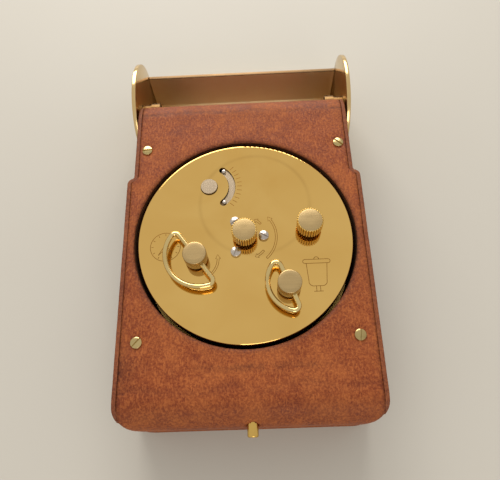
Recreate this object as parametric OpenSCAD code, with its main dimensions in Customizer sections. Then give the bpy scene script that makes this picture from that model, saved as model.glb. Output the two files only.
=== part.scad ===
// Leather-covered mechanical travel alarm clock, lying closed on its front cover, back plate up.
// X runs across the clock, Y from the push button towards the hinge, Z up. The origin is on the
// table under the centre of the round brass back cap. All sizes are in millimetres.

/* [Case] */
// Diameter of the round brass back cap; the case width and the movement follow it
cap_d = 63.1; // [56:0.1:76]
// Gap between the cap and the leather round it
cap_gap = 1.05; // [0.6:0.05:2]
// Wall of the case core beside the cap
side_wall = 2.2; // [1.5:0.1:6]
// Thickness of the leather covering
leather_t = 1.2; // [0.8:0.1:1.6]
// Length of the case from the push button end to the hinge end
case_len = 104; // [100:0.5:130]
// Thickness of the case from dial side to back
case_t = 23.7; // [23.5:0.1:32]
// Radius of the rounded case ends, seen from the side
end_r = 8; // [4:0.5:10]
// Radius of the case corners at the push button end, seen from above
corner_r = 5.5; // [3:0.5:10]
// Radius of the case corners at the hinge end
hinge_corner_r = 3; // [2:0.5:5]
// Depth of the side notches that clear the brass cheeks
notch_depth = 2; // [1.6:0.1:3]
// Length of the notched part, from the hinge end
notch_len = 30.7; // [24:0.1:36]

/* [Cover] */
// Total height of the closed cover, up to its leather rim
cover_t = 5.6; // [5:0.1:9]
// Gap between the closed cover and the case
cover_gap = 0.7; // [0.5:0.1:2]
// Thickness of the leather under the cover
cover_leather_t = 1; // [0.8:0.1:1.5]
// Thickness of the pad inside the cover
lining_t = 0.8; // [0.5:0.1:1.5]

/* [Brass hinge bracket] */
// Radius of the round top of each cheek
cheek_r = 16.5; // [16:0.1:20]
// Thickness of a cheek
cheek_t = 1.3; // [1:0.1:2]
// Distance of the hinge axis past the end of the case
hinge_past = 4; // [4:0.1:7]
// Thickness of the end plate and the floor
plate_t = 1.2; // [0.8:0.1:2]
// Radius of the hinge pins
pin_r = 1.5; // [1:0.1:2.2]
// Radius of the lug round a hinge pin
lug_r = 3; // [2.6:0.1:4]
// Thickness of a lug
lug_t = 3; // [2:0.1:4]
// Height of the low arm of a cheek
arm_h = 6.5; // [5:0.1:9]

/* [Knobs and keys] */
// Height of the knob and key tops above the back cap
knob_top = 5.6; // [5:0.1:9]
// Diameter of the hand setting knob
set_knob_d = 7.3; // [5:0.1:9]
// Diameter of the alarm setting knob
alarm_knob_d = 7.6; // [5:0.1:9]
// Height of both serrated knobs
knob_h = 4; // [3:0.1:4.5]
// Serrations round a knob
knob_teeth = 30; // [20:1:40]
// Diameter of a winding key post
key_post_d = 6.7; // [5:0.1:8]
// Height of a winding key post
key_post_h = 4.6; // [4.4:0.1:4.8]
// Wire diameter of the bails
bail_wire_d = 1.3; // [1:0.1:1.6]
// Half the length of the time winding bail
time_bail_half = 10.1; // [9.5:0.1:10.8]
// Depth of the time winding bail from its axis to its bow
time_bail_depth = 9; // [8.5:0.1:9.5]
// Half the length of the alarm winding bail
alarm_bail_half = 8; // [7.5:0.1:8.6]
// Depth of the alarm winding bail from its axis to its bow
alarm_bail_depth = 6.5; // [6.2:0.1:7.2]
// Radius of the two tight bends of a bail
bail_bend = 1.4; // [1:0.1:1.6]
// Diameter of the push button
button_d = 3; // [2:0.1:4]
// How far the push button stands out of the case
button_out = 2.5; // [2:0.1:4]
// Travel of the push button
button_travel = 1; // [0.8:0.1:1.5]
// Sideways place of the push button
button_x = 0.5; // [-2:0.1:2]
// Depth of the push button's axis below the back
button_deep = 5.5; // [4:0.1:8]

/* [Dial side] */
// Thickness of the crystal
crystal_t = 0.6; // [0.5:0.1:1]
// Height of the bezel lip in front of the crystal
lip_t = 0.4; // [0.3:0.1:0.8]
// Width of the bezel lip over the crystal's edge
lip_w = 3.1; // [2:0.1:4]
// Thickness of the dial
dial_t = 0.5; // [0.4:0.1:0.8]
// Thickness of a hand
hand_t = 0.2; // [0.15:0.05:0.3]
// Pitch of the levels of the three hands
hand_step = 0.4; // [0.35:0.05:0.6]

/* [Movement] */
// Thickness of the two movement plates
mplate_t = 1.5; // [1.2:0.1:2]
// Space between the back plate and the cap
under_cap = 2.8; // [2.6:0.1:4]
// Thickness of the cap's flat top
cap_t = 1.2; // [0.8:0.1:1.6]
// Depth of the cap's skirt
skirt_h = 8; // [6:0.1:9]
// Thickness of a train wheel
wheel_t = 0.5; // [0.4:0.05:0.6]
// Radius of a train arbor
arbor_r = 0.6; // [0.5:0.05:0.8]
// Radius of a train pivot
pivot_r = 0.35; // [0.25:0.05:0.45]
// Running clearance round pivots, pipes and pins
run = 0.05; // [0.02:0.01:0.08]

/* [Hidden] */
$fn = 96;

// Levels, from the table up
back_z = cover_t + cover_gap + case_t;
front_z = cover_t + cover_gap;
cap_z = back_z - cap_t;
bplate_z1 = cap_z - under_cap;
bplate_z0 = bplate_z1 - mplate_t;
crystal_z = front_z + 0.1 + lip_t;
minute_z = crystal_z + crystal_t + 0.4;
hour_z = minute_z + hand_step;
alarm_z = hour_z + hand_step;
dial_z = alarm_z + hand_t + 0.2;
alarm_wheel_z = dial_z + dial_t + 0.3;
hour_wheel_z = alarm_wheel_z + wheel_t + 0.4;
minute_wheel_z = hour_wheel_z + wheel_t + 0.3;
fplate_z0 = minute_wheel_z + wheel_t + 0.4;
fplate_z1 = fplate_z0 + mplate_t;
centre_wheel_z = bplate_z0 - 1.6;
barrel_teeth_z = bplate_z0 - 4.1;
barrel_teeth_t = 1.6;
third_wheel_z = bplate_z0 - 8.4;
fourth_wheel_z = bplate_z0 - 6;
escape_z = bplate_z0 - 3.5;
balance_z = bplate_z0 - 6.3;
balance_t = 1.2;
roller_z = escape_z - 0.1;
hairspring_z = bplate_z0 - 2.3;
ratchet_z = bplate_z1 + 0.3;
ratchet_t = 1;
pivot_z = back_z - 13;

// Plan of the case
cap_r = cap_d / 2;
bore_r = cap_r + cap_gap;
half_w = bore_r + side_wall + leather_t;
notch_w = half_w - notch_depth;
y_button = -case_len / 2;
y_hinge = case_len / 2;
y_shoulder = y_hinge - notch_len;
y_pivot = y_hinge + hinge_past;
screw_inset = 5.7;
screw_y_hinge = y_hinge - 20.8;
screw_y_button = y_button + 22.2;
case_screw_at = [[-half_w + screw_inset, screw_y_hinge], [half_w - screw_inset, screw_y_hinge],
    [-half_w + screw_inset, screw_y_button], [half_w - screw_inset, screw_y_button]];
case_screw_slot = [4, -42, 48, 80];

// Layout of the movement, which grows with the cap
layout = cap_r / 31.55;
C = [0, 0];
T = [-14.1, -6.5] * layout;
L = [12, -15.8] * layout;
A = [18.9, 2.1] * layout;
B = [-10.5, 17] * layout;
ledge_r = bore_r - 2.2;
bplate_r = cap_r - 2.05;
skirt_r = cap_r - 0.95;

// Tooth counts of the wheels and pinions
barrel_n = 72;
centre_pinion_n = 12;
centre_n = 64;
leaf_n = 8;
third_n = 60;
fourth_n = 60;
escape_pinion_n = 7;
escape_n = 15;
alarm_barrel_n = 54;
cannon_n = 12;
minute_n = 36;
minute_pinion_n = 10;
hour_n = 40;
alarm_pinion_n = 24;
alarm_n = 48;
ratchet_n = 24;

function polar(r, a) = [r * cos(a), r * sin(a)];
function heading(p, q) = atan2(q[1] - p[1], q[0] - p[0]);
// Module of two wheels that mesh at a given distance
function mesh_module(d, n1, n2) = 2 * d / (n1 + n2);
// The point at distance ra from p and rb from q, on the right of the way from p to q
function meet(p, ra, q, rb) =
    let(d = norm(q - p), a = (ra * ra - rb * rb + d * d) / (2 * d), h = sqrt(ra * ra - a * a),
        u = (q - p) / d)
    p + a * u + h * [u[1], -u[0]];
// Phase of the driven wheel that puts a gap opposite a tooth of the driver
function gap_phase(from, to, n) = heading(from, to) + 180 + 180 / n;

third_d = 9 * layout;
fourth_d = 7.48 * layout;
escape_d = 6.7 * layout;
pallet_d = 3.3 * layout;
pallet_from_balance = 5.3 * layout;
minute_d = 6 * layout;
THIRD = C + polar(third_d, 85);
PALLET = B + polar(pallet_from_balance, 20);
ESCAPE = B + polar(pallet_from_balance + pallet_d, 20);
FOURTH = meet(THIRD, fourth_d, ESCAPE, escape_d);
HAMMER = L + polar(13.9 * layout, 45.3);
MINUTE = C + polar(minute_d, 200);
TIME_CLICK = T + polar(8.6 * layout, 100);
ALARM_CLICK = L + polar(7.6 * layout, 200);
PILLAR_AT = [for (a = [5, 75, 140, 262]) polar(bplate_r - 2.6, a)];
cock_angle = 85;
cock_len = 8 * layout;
COCK_FOOT = B + polar(cock_len, cock_angle);
barrel_m = mesh_module(norm(T - C), barrel_n, centre_pinion_n);
centre_m = mesh_module(third_d, centre_n, leaf_n);
third_m = mesh_module(fourth_d, third_n, leaf_n);
fourth_m = mesh_module(escape_d, fourth_n, escape_pinion_n);
alarm_barrel_m = 0.34 * layout;
cannon_m = mesh_module(minute_d, cannon_n, minute_n);
hour_m = mesh_module(minute_d, minute_pinion_n, hour_n);
alarm_m = mesh_module(norm(A - C), alarm_pinion_n, alarm_n);
balance_r = 4.6 * layout;
barrel_arbor_r = 2;
cap_screw_ring = 5.5 * layout;
cap_screw_at = [for (a = [120, 0, 240]) C + polar(cap_screw_ring, a)];
boss_r = 7.3 * layout;
cannon_pipe_r = 1;
hour_pipe_r = 1.45;
alarm_pipe_r = 1.9;
pillar_r = 1.8;
small_screw_r = 0.8;

// Latch under the push button
button_z = back_z - button_deep;
pocket_y0 = y_button + 5.6;
pocket_y1 = y_button + 14.4;
latch_half = 3.2;
catch_half = 1.6;
catch_y = y_button + 8.8;
catch_top = front_z + 4.9;

// Regulator
reg_slot_r = 7 * layout;
reg_slot_w = 2.1;
reg_hub_r = 2.5;
reg_turn = 5;

module at(p) { translate([p[0], p[1], 0]) children(); }
module rod(r, z0, z1) { translate([0, 0, z0]) cylinder(r = r, h = z1 - z0); }
module ring(ro, ri, z0, z1) {
    translate([0, 0, z0]) linear_extrude(z1 - z0) difference() {
        circle(ro);
        circle(ri);
    }
}
module block(x0, x1, y0, y1, z0, z1) { translate([x0, y0, z0]) cube([x1 - x0, y1 - y0, z1 - z0]); }
module rod_x(r, x0, x1) { translate([x0, 0, 0]) rotate([0, 90, 0]) cylinder(r = r, h = x1 - x0); }
module rod_y(r, y0, y1) { translate([0, y0, 0]) rotate([-90, 0, 0]) cylinder(r = r, h = y1 - y0); }

// Outline of a gear with straight-flanked teeth, one of them pointing along the phase angle
module gear_outline(n, m, phase) {
    p = 360 / n;
    root = n * m / 2 - 1.25 * m;
    tip = n * m / 2 + 0.8 * m;
    polygon([for (i = [0 : n - 1]) let(a = phase + i * p)
        each [polar(root, a - 0.25 * p), polar(tip, a - 0.09 * p), polar(tip, a + 0.09 * p),
            polar(root, a + 0.25 * p)]]);
}
// Outline of a ratchet wheel with radial locking faces
module ratchet_outline(n, r, depth) {
    p = 360 / n;
    polygon([for (i = [0 : n - 1]) each [polar(r - depth, i * p), polar(r, i * p + 0.06 * p)]]);
}
// A thin wheel with round openings between its spokes
module wheel(n, m, phase, bore, z) {
    r = n * m / 2;
    opening = r * 0.24;
    translate([0, 0, z]) linear_extrude(wheel_t) difference() {
        gear_outline(n, m, phase);
        circle(bore);
        if (r > 6) for (a = [0 : 72 : 359]) rotate(a) translate([r * 0.56, 0]) circle(opening);
    }
}
module pinion(n, m, phase, bore, z, h) {
    translate([0, 0, z]) linear_extrude(h) difference() {
        gear_outline(n, m, phase);
        if (bore > 0) circle(bore);
    }
}
// An arbor with a thinner pivot at each end, running in the two plates
module arbor() {
    rod(arbor_r, fplate_z1 + 0.2, bplate_z0 - 0.2);
    rod(pivot_r, fplate_z0 + 0.3, bplate_z1 - 0.3);
}
module slotted_head(r, z0, z1, slot_angle, slot_w, slot_deep) {
    difference() {
        rod(r, z0, z1);
        rotate(slot_angle) block(-r - 1, r + 1, -slot_w / 2, slot_w / 2, z1 - slot_deep, z1 + 1);
    }
}
module slotted_screw(r, shank_r, z0, head_z, top_z, slot_angle) {
    slotted_head(r, head_z, top_z, slot_angle, 0.45, (top_z - head_z) * 0.45);
    rod(shank_r, z0, head_z);
}

// Plan of the case, set in by i all round
module plan(i) {
    r = corner_r - i;
    rh = hinge_corner_r - i;
    rs = notch_depth;
    union() {
        translate([-(half_w - i), y_button + corner_r])
            square([2 * (half_w - i), y_shoulder - rs - y_button - corner_r]);
        translate([-(half_w - corner_r), y_button + i])
            square([2 * (half_w - corner_r), corner_r]);
        for (s = [-1, 1]) {
            translate([s * (half_w - corner_r), y_button + corner_r]) circle(r);
            translate([s * notch_w, y_shoulder - rs]) circle(rs - i);
            translate([s * (notch_w - hinge_corner_r), y_hinge - hinge_corner_r]) circle(rh);
        }
        translate([-(notch_w - i), y_shoulder - 8])
            square([2 * (notch_w - i), y_hinge - hinge_corner_r - y_shoulder + 8]);
        translate([-(notch_w - hinge_corner_r), y_shoulder])
            square([2 * (notch_w - hinge_corner_r), y_hinge - i - y_shoulder]);
    }
}
// The same plan without its shoulder rounding, for inner pieces
module inner_plan(i) {
    ri = max(corner_r - i, 0.5);
    union() {
        translate([-(half_w - i), y_button + i + ri])
            square([2 * (half_w - i), y_shoulder - 2 * i - y_button - ri]);
        translate([-(half_w - i - ri), y_button + i]) square([2 * (half_w - i - ri), 2 * ri]);
        for (s = [-1, 1]) translate([s * (half_w - i - ri), y_button + i + ri]) circle(ri);
        translate([-(notch_w - i), y_shoulder - 12])
            square([2 * (notch_w - i), y_hinge - i - y_shoulder + 12]);
    }
}
// Side view of the case with its round ends, set in by i, as a bar along X
module side_profile(i) {
    r = end_r - i;
    y0 = y_button + end_r;
    y1 = y_hinge - end_r;
    z0 = front_z + end_r;
    z1 = back_z - end_r;
    union() {
        block(-half_w - 5, half_w + 5, y0, y1, front_z + i, back_z - i);
        block(-half_w - 5, half_w + 5, y_button + i, y_hinge - i, z0, z1);
        for (y = [y0, y1], z = [z0, z1]) translate([0, y, z]) rod_x(r, -half_w - 5, half_w + 5);
    }
}
module case_block() {
    intersection() {
        translate([0, 0, front_z]) linear_extrude(case_t) plan(0);
        side_profile(0);
    }
}
module core_block() {
    intersection() {
        translate([0, 0, front_z]) linear_extrude(case_t) inner_plan(leather_t);
        side_profile(leather_t);
    }
}
// Upright wall that parts the wrapped leather from the side strips
module strip_prism() {
    translate([0, 0, front_z - 1]) linear_extrude(case_t + 2) {
        translate([-(half_w - leather_t), y_button - 5])
            square([2 * (half_w - leather_t), y_shoulder - leather_t - y_button + 5]);
        translate([-(notch_w - leather_t), y_shoulder - 12])
            square([2 * (notch_w - leather_t), y_hinge - y_shoulder + 20]);
    }
}
module movement_bore() { rod(bore_r, front_z - 1, back_z + 1); }
module lug_slots() {
    for (s = [-1, 1]) translate([s * lug_x, 0, 0])
        block(-lug_t / 2 - run, lug_t / 2 + run, y_hinge - lug_deep, y_hinge + 1,
            pivot_z - 2 - run, pivot_z + 2 + run);
}
lug_x = notch_w - 3;
lug_deep = 9;

// ---- Cover ----

module cover_outline(i) {
    union() {
        translate([-(half_w - i), y_button + corner_r])
            square([2 * (half_w - i), y_shoulder - 2 - y_button - corner_r - i]);
        translate([-(half_w - corner_r), y_button + i]) square([2 * (half_w - corner_r), 8]);
        for (s = [-1, 1])
            translate([s * (half_w - corner_r), y_button + corner_r]) circle(corner_r - i);
        translate([-(cheek_in - 0.2 - i), y_shoulder - 14])
            square([2 * (cheek_in - 0.2 - i), y_hinge - i - y_shoulder + 14]);
    }
}
cheek_in = half_w - cheek_t;
floor_z = 0.3;
tongue = 12;
core_z0 = floor_z + plate_t + 0.1;
core_z1 = cover_t - lining_t - 0.2;
rim_z = cover_t;
module tongue_room() {
    block(-cheek_in - 1, cheek_in + 1, y_hinge - tongue - 0.1, y_hinge + 1, -1, core_z0);
}
module rivet_bores() {
    for (y = rivet_y) translate([0, y, rivet_z]) rod_x(rivet_r + run, -half_w, half_w);
}
module cover_core() {
    color("tan") difference() {
        translate([0, 0, cover_leather_t]) linear_extrude(core_z1 - cover_leather_t)
            cover_outline(leather_t);
        tongue_room();
        rivet_bores();
        translate([button_x, 0, 0])
            block(-catch_foot / 2 - run, catch_foot / 2 + run, catch_y - 2, catch_y + 4,
                core_z1 - 1, core_z1 + 1);
    }
}
module cover_leather() {
    color("sienna") difference() {
        linear_extrude(rim_z) cover_outline(0);
        translate([0, 0, cover_leather_t]) linear_extrude(rim_z) cover_outline(leather_t);
        tongue_room();
        rivet_bores();
    }
}
module cover_lining() {
    color("maroon") difference() {
        translate([0, 0, core_z1]) linear_extrude(lining_t) cover_outline(leather_t + 0.1);
        translate([button_x, 0, 0])
            block(-catch_foot / 2 - 0.2, catch_foot / 2 + 0.2, catch_y - 2.2, catch_y + 4.2, 0, 20);
    }
}
rivet_z = (core_z0 + core_z1) / 2 + 0.1;
rivet_y = [y_hinge - tongue - 14, y_hinge - tongue - 4];
rivet_r = 0.8;
catch_foot = 8;

// One cheek: a round-topped brass plate with a low arm along the side of the cover
module cheek(x0) {
    translate([x0, 0, 0]) rotate([90, 0, 90]) linear_extrude(cheek_t) difference() {
        union() {
            translate([y_pivot, pivot_z]) circle(cheek_r);
            translate([y_pivot - cheek_r, floor_z]) square([2 * cheek_r, pivot_z - floor_z]);
            translate([arm_y0 + 2, floor_z]) square([y_pivot - arm_y0 - 2, arm_h]);
            translate([arm_y0, floor_z]) square([4, arm_h - 2]);
            translate([arm_y0 + 2, floor_z + arm_h - 2]) circle(2);
        }
        translate([y_pivot, pivot_z]) circle(pin_r);
        for (y = rivet_y) translate([y, rivet_z]) circle(rivet_r);
    }
}
arm_y0 = y_shoulder + 1.2;
module hinge_cheek_left() { color("goldenrod") cheek(-half_w); }
module hinge_cheek_right() { color("goldenrod") cheek(cheek_in); }
plate_y1 = y_pivot + cheek_r - 0.2;
module hinge_end_plate() {
    color("darkgoldenrod") union() {
        block(-cheek_in, cheek_in, plate_y1 - plate_t, plate_y1, floor_z, pivot_z);
        block(-cheek_in, cheek_in, y_hinge - tongue, plate_y1 - plate_t, floor_z, floor_z + plate_t);
    }
}
// Shouldered pins: riveted in the cheeks, running in the lugs
module hinge_pins() {
    color("gold") for (s = [-1, 1]) mirror([s < 0 ? 1 : 0, 0, 0]) translate([0, y_pivot, pivot_z]) {
        rod_x(pin_r, lug_x - lug_t / 2 - 0.6, half_w);
        rod_x(pin_r + 1, lug_x + lug_t / 2 + 0.1, cheek_in);
    }
}
module cheek_rivets() {
    color("gold") for (s = [-1, 1], y = rivet_y) mirror([s < 0 ? 1 : 0, 0, 0])
        translate([0, y, rivet_z]) rod_x(rivet_r, cheek_in - 5, half_w);
}
// Brass hook that stands up from the cover into the case
module catch_plate() {
    color("gold") translate([button_x, 0, 0]) union() {
        block(-catch_foot / 2, catch_foot / 2, catch_y - 2, catch_y + 4, core_z1 - 1, core_z1);
        block(-catch_half, catch_half, catch_y, catch_y + 1, core_z1, catch_top);
        block(-catch_half, catch_half, catch_y + 1, catch_y + 2.2, catch_top - 0.9, catch_top);
    }
}

// ---- Case ----

module latch_pocket() {
    translate([button_x, 0, 0])
        block(-latch_half - 0.4, latch_half + 0.4, pocket_y0, pocket_y1,
            front_z + leather_t - 1, button_z + 3);
}
module catch_slot() {
    translate([button_x, 0, 0])
        block(-catch_half - 0.6, catch_half + 0.6, catch_y - 1.2, catch_y + 3.4,
            front_z - 1, catch_top + 1);
}
module button_hole() {
    translate([button_x, 0, button_z]) rod_y(button_d / 2 + run, y_button - 1, pocket_y0 + 1);
}
module screw_holes(z0) {
    for (p = case_screw_at) at(p) rod(small_screw_r + run, z0, back_z + 1);
}
ledge_z = fplate_z0 - 2.2;
mscrew_ring = ledge_r + 1;
mscrew_at = [for (a = [20, 140, 260]) polar(mscrew_ring, a)];
module case_core() {
    color("peru") difference() {
        core_block();
        rod(bore_r, fplate_z0, back_z + 1);
        rod(bore_r, front_z - 1, ledge_z);
        rod(ledge_r, front_z - 1, back_z);
        lug_slots();
        latch_pocket();
        button_hole();
        screw_holes(back_z - 9);
        for (p = mscrew_at) at(p) rod(0.6 + run, ledge_z - 1, fplate_z0 + 1);
    }
}
module wrap() {
    difference() {
        intersection() {
            case_block();
            strip_prism();
        }
        core_block();
        movement_bore();
    }
}
seam_z = front_z + leather_t;
module case_leather_back() {
    color("chocolate") difference() {
        wrap();
        block(-half_w - 5, half_w + 5, y_button - 5, y_hinge + 5, front_z - 5, seam_z);
        lug_slots();
        button_hole();
        screw_holes(back_z - 9);
    }
}
module case_leather_front() {
    color("chocolate") difference() {
        intersection() {
            wrap();
            block(-half_w - 5, half_w + 5, y_button - 5, y_hinge + 5, front_z - 5, seam_z);
        }
        catch_slot();
    }
}
module case_leather_sides() {
    color("saddlebrown") difference() {
        case_block();
        strip_prism();
        core_block();
    }
}
module hinge_lugs() {
    color("gold") for (s = [-1, 1]) translate([s * lug_x, 0, 0]) difference() {
        union() {
            translate([0, y_pivot, pivot_z]) rod_x(lug_r, -lug_t / 2, lug_t / 2);
            block(-lug_t / 2, lug_t / 2, y_hinge - lug_deep, y_pivot - pin_r - 0.3,
                pivot_z - 2, pivot_z + 2);
        }
        translate([0, y_pivot, pivot_z]) rod_x(pin_r + run, -lug_t, lug_t);
    }
}
module case_screws() {
    color("gold") for (i = [0 : 3]) at(case_screw_at[i])
        slotted_screw(1.6, small_screw_r, back_z - 8.5, back_z, back_z + 0.4, case_screw_slot[i]);
}

// ---- Cap, glass and dial ----

module cap_blank() {
    edge = 0.7;
    rotate_extrude() difference() {
        union() {
            translate([0, cap_z - skirt_h]) square([cap_r, skirt_h + cap_t - edge]);
            translate([0, back_z - edge]) square([cap_r - edge, edge]);
            translate([cap_r - edge, back_z - edge]) circle(edge);
        }
        translate([-cap_r, cap_z - skirt_h - 1]) square([cap_r + skirt_r, skirt_h + 1]);
        translate([-cap_r, cap_z - skirt_h - 2]) square([cap_r, skirt_h + 9]);
    }
}
module back_cap() {
    color("gold") difference() {
        cap_blank();
        at(C) rod(2.2, cap_z - 1, back_z + 1);
        at(A) rod(1.5, cap_z - 1, back_z + 1);
        for (p = [T, L]) at(p) rod(2.7, cap_z - 1, back_z + 1);
        for (p = cap_screw_at) at(p) rod(small_screw_r + run, cap_z - 1, back_z + 1);
        at(B) {
            rod(reg_hub_r + 0.15, cap_z - 1, back_z + 1);
            arc_bar(reg_slot_r, reg_slot_w, -52, 54, cap_z - 1, back_z + 1);
        }
    }
}
// A curved bar with round ends, of mean radius r and width w
module arc_bar(r, w, a0, a1, z0, z1) {
    translate([0, 0, z0]) {
        rotate([0, 0, a0]) rotate_extrude(angle = a1 - a0)
            translate([r - w / 2, 0]) square([w, z1 - z0]);
        for (a = [a0, a1]) rotate([0, 0, a]) translate([r, 0, 0]) cylinder(r = w / 2, h = z1 - z0);
    }
}
module cap_screws() {
    color("silver") for (i = [0 : 2]) at(cap_screw_at[i])
        slotted_screw(1.5, small_screw_r, bplate_z1 + 0.5, back_z, back_z + 1.2, [35, -30, 70][i]);
}
module bezel() {
    color("gold") difference() {
        rod(bore_r - 0.3, crystal_z - lip_t, ledge_z);
        rod(bore_r - lip_w, crystal_z - lip_t - 1, ledge_z + 1);
        rod(ledge_r + 0.2, crystal_z, ledge_z + 1);
    }
}
module crystal() {
    color([0.8, 0.9, 0.95, 0.4]) rod(ledge_r + 0.1, crystal_z, crystal_z + crystal_t);
}
module dial_ring() {
    color("silver") ring(ledge_r - 0.1, ledge_r - 1.4, crystal_z + crystal_t, dial_z);
}
dial_r = ledge_r - 0.2;
module dial() {
    color("ivory") union() {
        difference() {
            rod(dial_r, dial_z, dial_z + dial_t);
            at(C) rod(alarm_pipe_r + 0.2, dial_z - 1, dial_z + dial_t + 1);
        }
        for (a = [80, 200, 320]) at(polar(dial_r - 2.5, a)) rod(0.5, dial_z + dial_t, fplate_z0);
    }
}

// ---- Movement ----

module front_plate() {
    color("gold") difference() {
        union() {
            rod(bore_r - 0.2, fplate_z0, fplate_z1);
            at(MINUTE) rod(0.5, hour_wheel_z - 0.25, fplate_z0);
        }
        at(C) rod(arbor_r + run, fplate_z0 - 1, fplate_z1 + 1);
        at(A) rod(1 + run, fplate_z0 - 1, fplate_z1 + 1);
        for (p = [T, L]) at(p) rod(1.2 + run, fplate_z0 - 1, fplate_z1 + 1);
        for (p = [THIRD, FOURTH, ESCAPE, B, HAMMER])
            at(p) rod(pivot_r + run, fplate_z0 - 1, fplate_z1 + 1);
        at(PALLET) rod(pivot_r + run, fplate_z0 - 1, fplate_z1 + 1);
        for (p = mscrew_at) at(p) rod(0.6 + run, fplate_z0 - 1, fplate_z1 + 1);
    }
}
module back_plate() {
    color("gold") difference() {
        union() {
            rod(bplate_r, bplate_z0, bplate_z1);
            at(C) rod(boss_r, bplate_z1, cap_z);
        }
        at(C) rod(arbor_r + run, bplate_z0 - 1, bplate_z1 + 1);
        at(C) rod(2, bplate_z1, cap_z + 1);
        at(A) rod(1 + run, bplate_z0 - 1, bplate_z1 + 1);
        for (p = [T, L]) at(p) rod(barrel_arbor_r + run, bplate_z0 - 1, bplate_z1 + 1);
        for (p = [THIRD, FOURTH, ESCAPE, PALLET, HAMMER])
            at(p) rod(pivot_r + run, bplate_z0 - 1, bplate_z1 + 1);
        at(B) rod(1, bplate_z0 - 1, bplate_z1 + 1);
        for (p = PILLAR_AT) at(p) rod(small_screw_r + run, bplate_z0 - 1, bplate_z1 + 1);
        for (p = cap_screw_at) at(p) rod(small_screw_r + run, bplate_z1 + 0.3, cap_z + 1);
        for (p = [TIME_CLICK, ALARM_CLICK]) at(p) rod(0.6 + run, bplate_z0 - 1, bplate_z1 + 1);
        at(COCK_FOOT) rod(0.6 + run, bplate_z0 - 1, bplate_z1 + 1);
    }
}
module pillars() {
    color("gold") for (p = PILLAR_AT) at(p) difference() {
        rod(pillar_r, fplate_z1, bplate_z0);
        rod(small_screw_r + run, bplate_z0 - 4, bplate_z0 + 1);
    }
}
// Screws that hold the back plate, the balance cock and the movement
module movement_screws() {
    color("silver") {
        for (p = PILLAR_AT) at(p)
            slotted_screw(1.5, small_screw_r, bplate_z0 - 3.5, bplate_z1, bplate_z1 + 0.9, 30);
        at(COCK_FOOT) slotted_screw(1.2, 0.6, bplate_z0, cock_z1, cock_z1 + 0.7, 60);
        for (p = mscrew_at) at(p)
            slotted_screw(1.1, 0.6, ledge_z + 0.3, fplate_z1, fplate_z1 + 0.8, 10);
    }
}
cock_z1 = bplate_z1 + 1.2;
module balance_cock() {
    color("silver") difference() {
        union() {
            at(B) rod(3, bplate_z1, cock_z1);
            at(COCK_FOOT) rod(2.4, bplate_z1, cock_z1);
            at(B) rotate(cock_angle) block(0, cock_len, -2, 2, bplate_z1, cock_z1);
        }
        at(B) rod(pivot_r + run, bplate_z1 - 1, cock_z1 + 1);
        at(B) rod(0.8 + run, bplate_z1 + 0.6, cock_z1 + 1);
        at(COCK_FOOT) rod(0.6 + run, bplate_z1 - 1, cock_z1 + 1);
    }
}

// Serrated knob with a flat top and a thin neck
module knob(d, z_top, bore) {
    groove = 0.35;
    difference() {
        translate([0, 0, z_top - knob_h]) linear_extrude(knob_h) polygon([
            for (i = [0 : knob_teeth - 1]) let(p = 360 / knob_teeth, a = i * p)
                each [polar(d / 2 - groove, a - 0.5 * p), polar(d / 2, a - 0.18 * p),
                    polar(d / 2, a + 0.18 * p)]]);
        rod(bore, z_top - knob_h - 1, z_top - 1);
    }
}
knob_z = back_z + knob_top;
module set_knob() { color("gold") at(C) knob(set_knob_d, knob_z, arbor_r); }
module centre_arbor() { color("silver") at(C) rod(arbor_r, minute_z - 0.1, knob_z - 1); }
cannon_phase = heading(C, MINUTE);
module cannon_pinion() {
    color("silver") at(C) difference() {
        union() {
            pinion(cannon_n, cannon_m, cannon_phase, 0, minute_wheel_z - 0.1, wheel_t + 0.2);
            rod(cannon_pipe_r, minute_z - 0.1, minute_wheel_z);
        }
        rod(arbor_r, minute_z - 1, fplate_z0);
    }
}
// A straight hand with a round boss, pointing along the angle
module hand(len, w, boss, bore, z, angle) {
    translate([0, 0, z]) linear_extrude(hand_t) rotate(angle) difference() {
        union() {
            circle(boss);
            polygon([[0, -w / 2], [len * 0.8, -w / 2], [len, 0], [len * 0.8, w / 2], [0, w / 2]]);
            polygon([[-len * 0.18, -w / 3], [0, -w / 3], [0, w / 3], [-len * 0.18, w / 3]]);
        }
        circle(bore);
    }
}
module minute_hand() {
    color("black") at(C) hand(23 * layout, 1.3, 2, cannon_pipe_r, minute_z, -90 + 60);
}
module hour_hand() {
    color("black") at(C) hand(15 * layout, 1.8, 2.4, hour_pipe_r, hour_z, -90 - 55);
}
module alarm_hand() {
    color("firebrick") at(C) hand(12 * layout, 0.9, 2.7, alarm_pipe_r, alarm_z, -90 + 180);
}
minute_pinion_phase = heading(MINUTE, C);
module minute_wheel() {
    color("gold") at(MINUTE) union() {
        wheel(minute_n, cannon_m, gap_phase(C, MINUTE, minute_n), 0.5 + run, minute_wheel_z);
        pinion(minute_pinion_n, hour_m, minute_pinion_phase, 0.5 + run, hour_wheel_z - 0.15,
            minute_wheel_z - hour_wheel_z + 0.15);
    }
}
module hour_wheel() {
    color("gold") at(C) union() {
        wheel(hour_n, hour_m, gap_phase(MINUTE, C, hour_n), cannon_pipe_r + run, hour_wheel_z);
        ring(hour_pipe_r, cannon_pipe_r + run, hour_z - 0.1, hour_wheel_z);
    }
}
module alarm_knob() { color("gold") at(A) knob(alarm_knob_d, knob_z, 1); }
alarm_pinion_phase = heading(A, C);
module alarm_set_arbor() {
    color("silver") at(A) union() {
        rod(1, alarm_wheel_z, knob_z - 1);
        pinion(alarm_pinion_n, alarm_m, alarm_pinion_phase, 0, alarm_wheel_z, wheel_t);
    }
}
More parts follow.
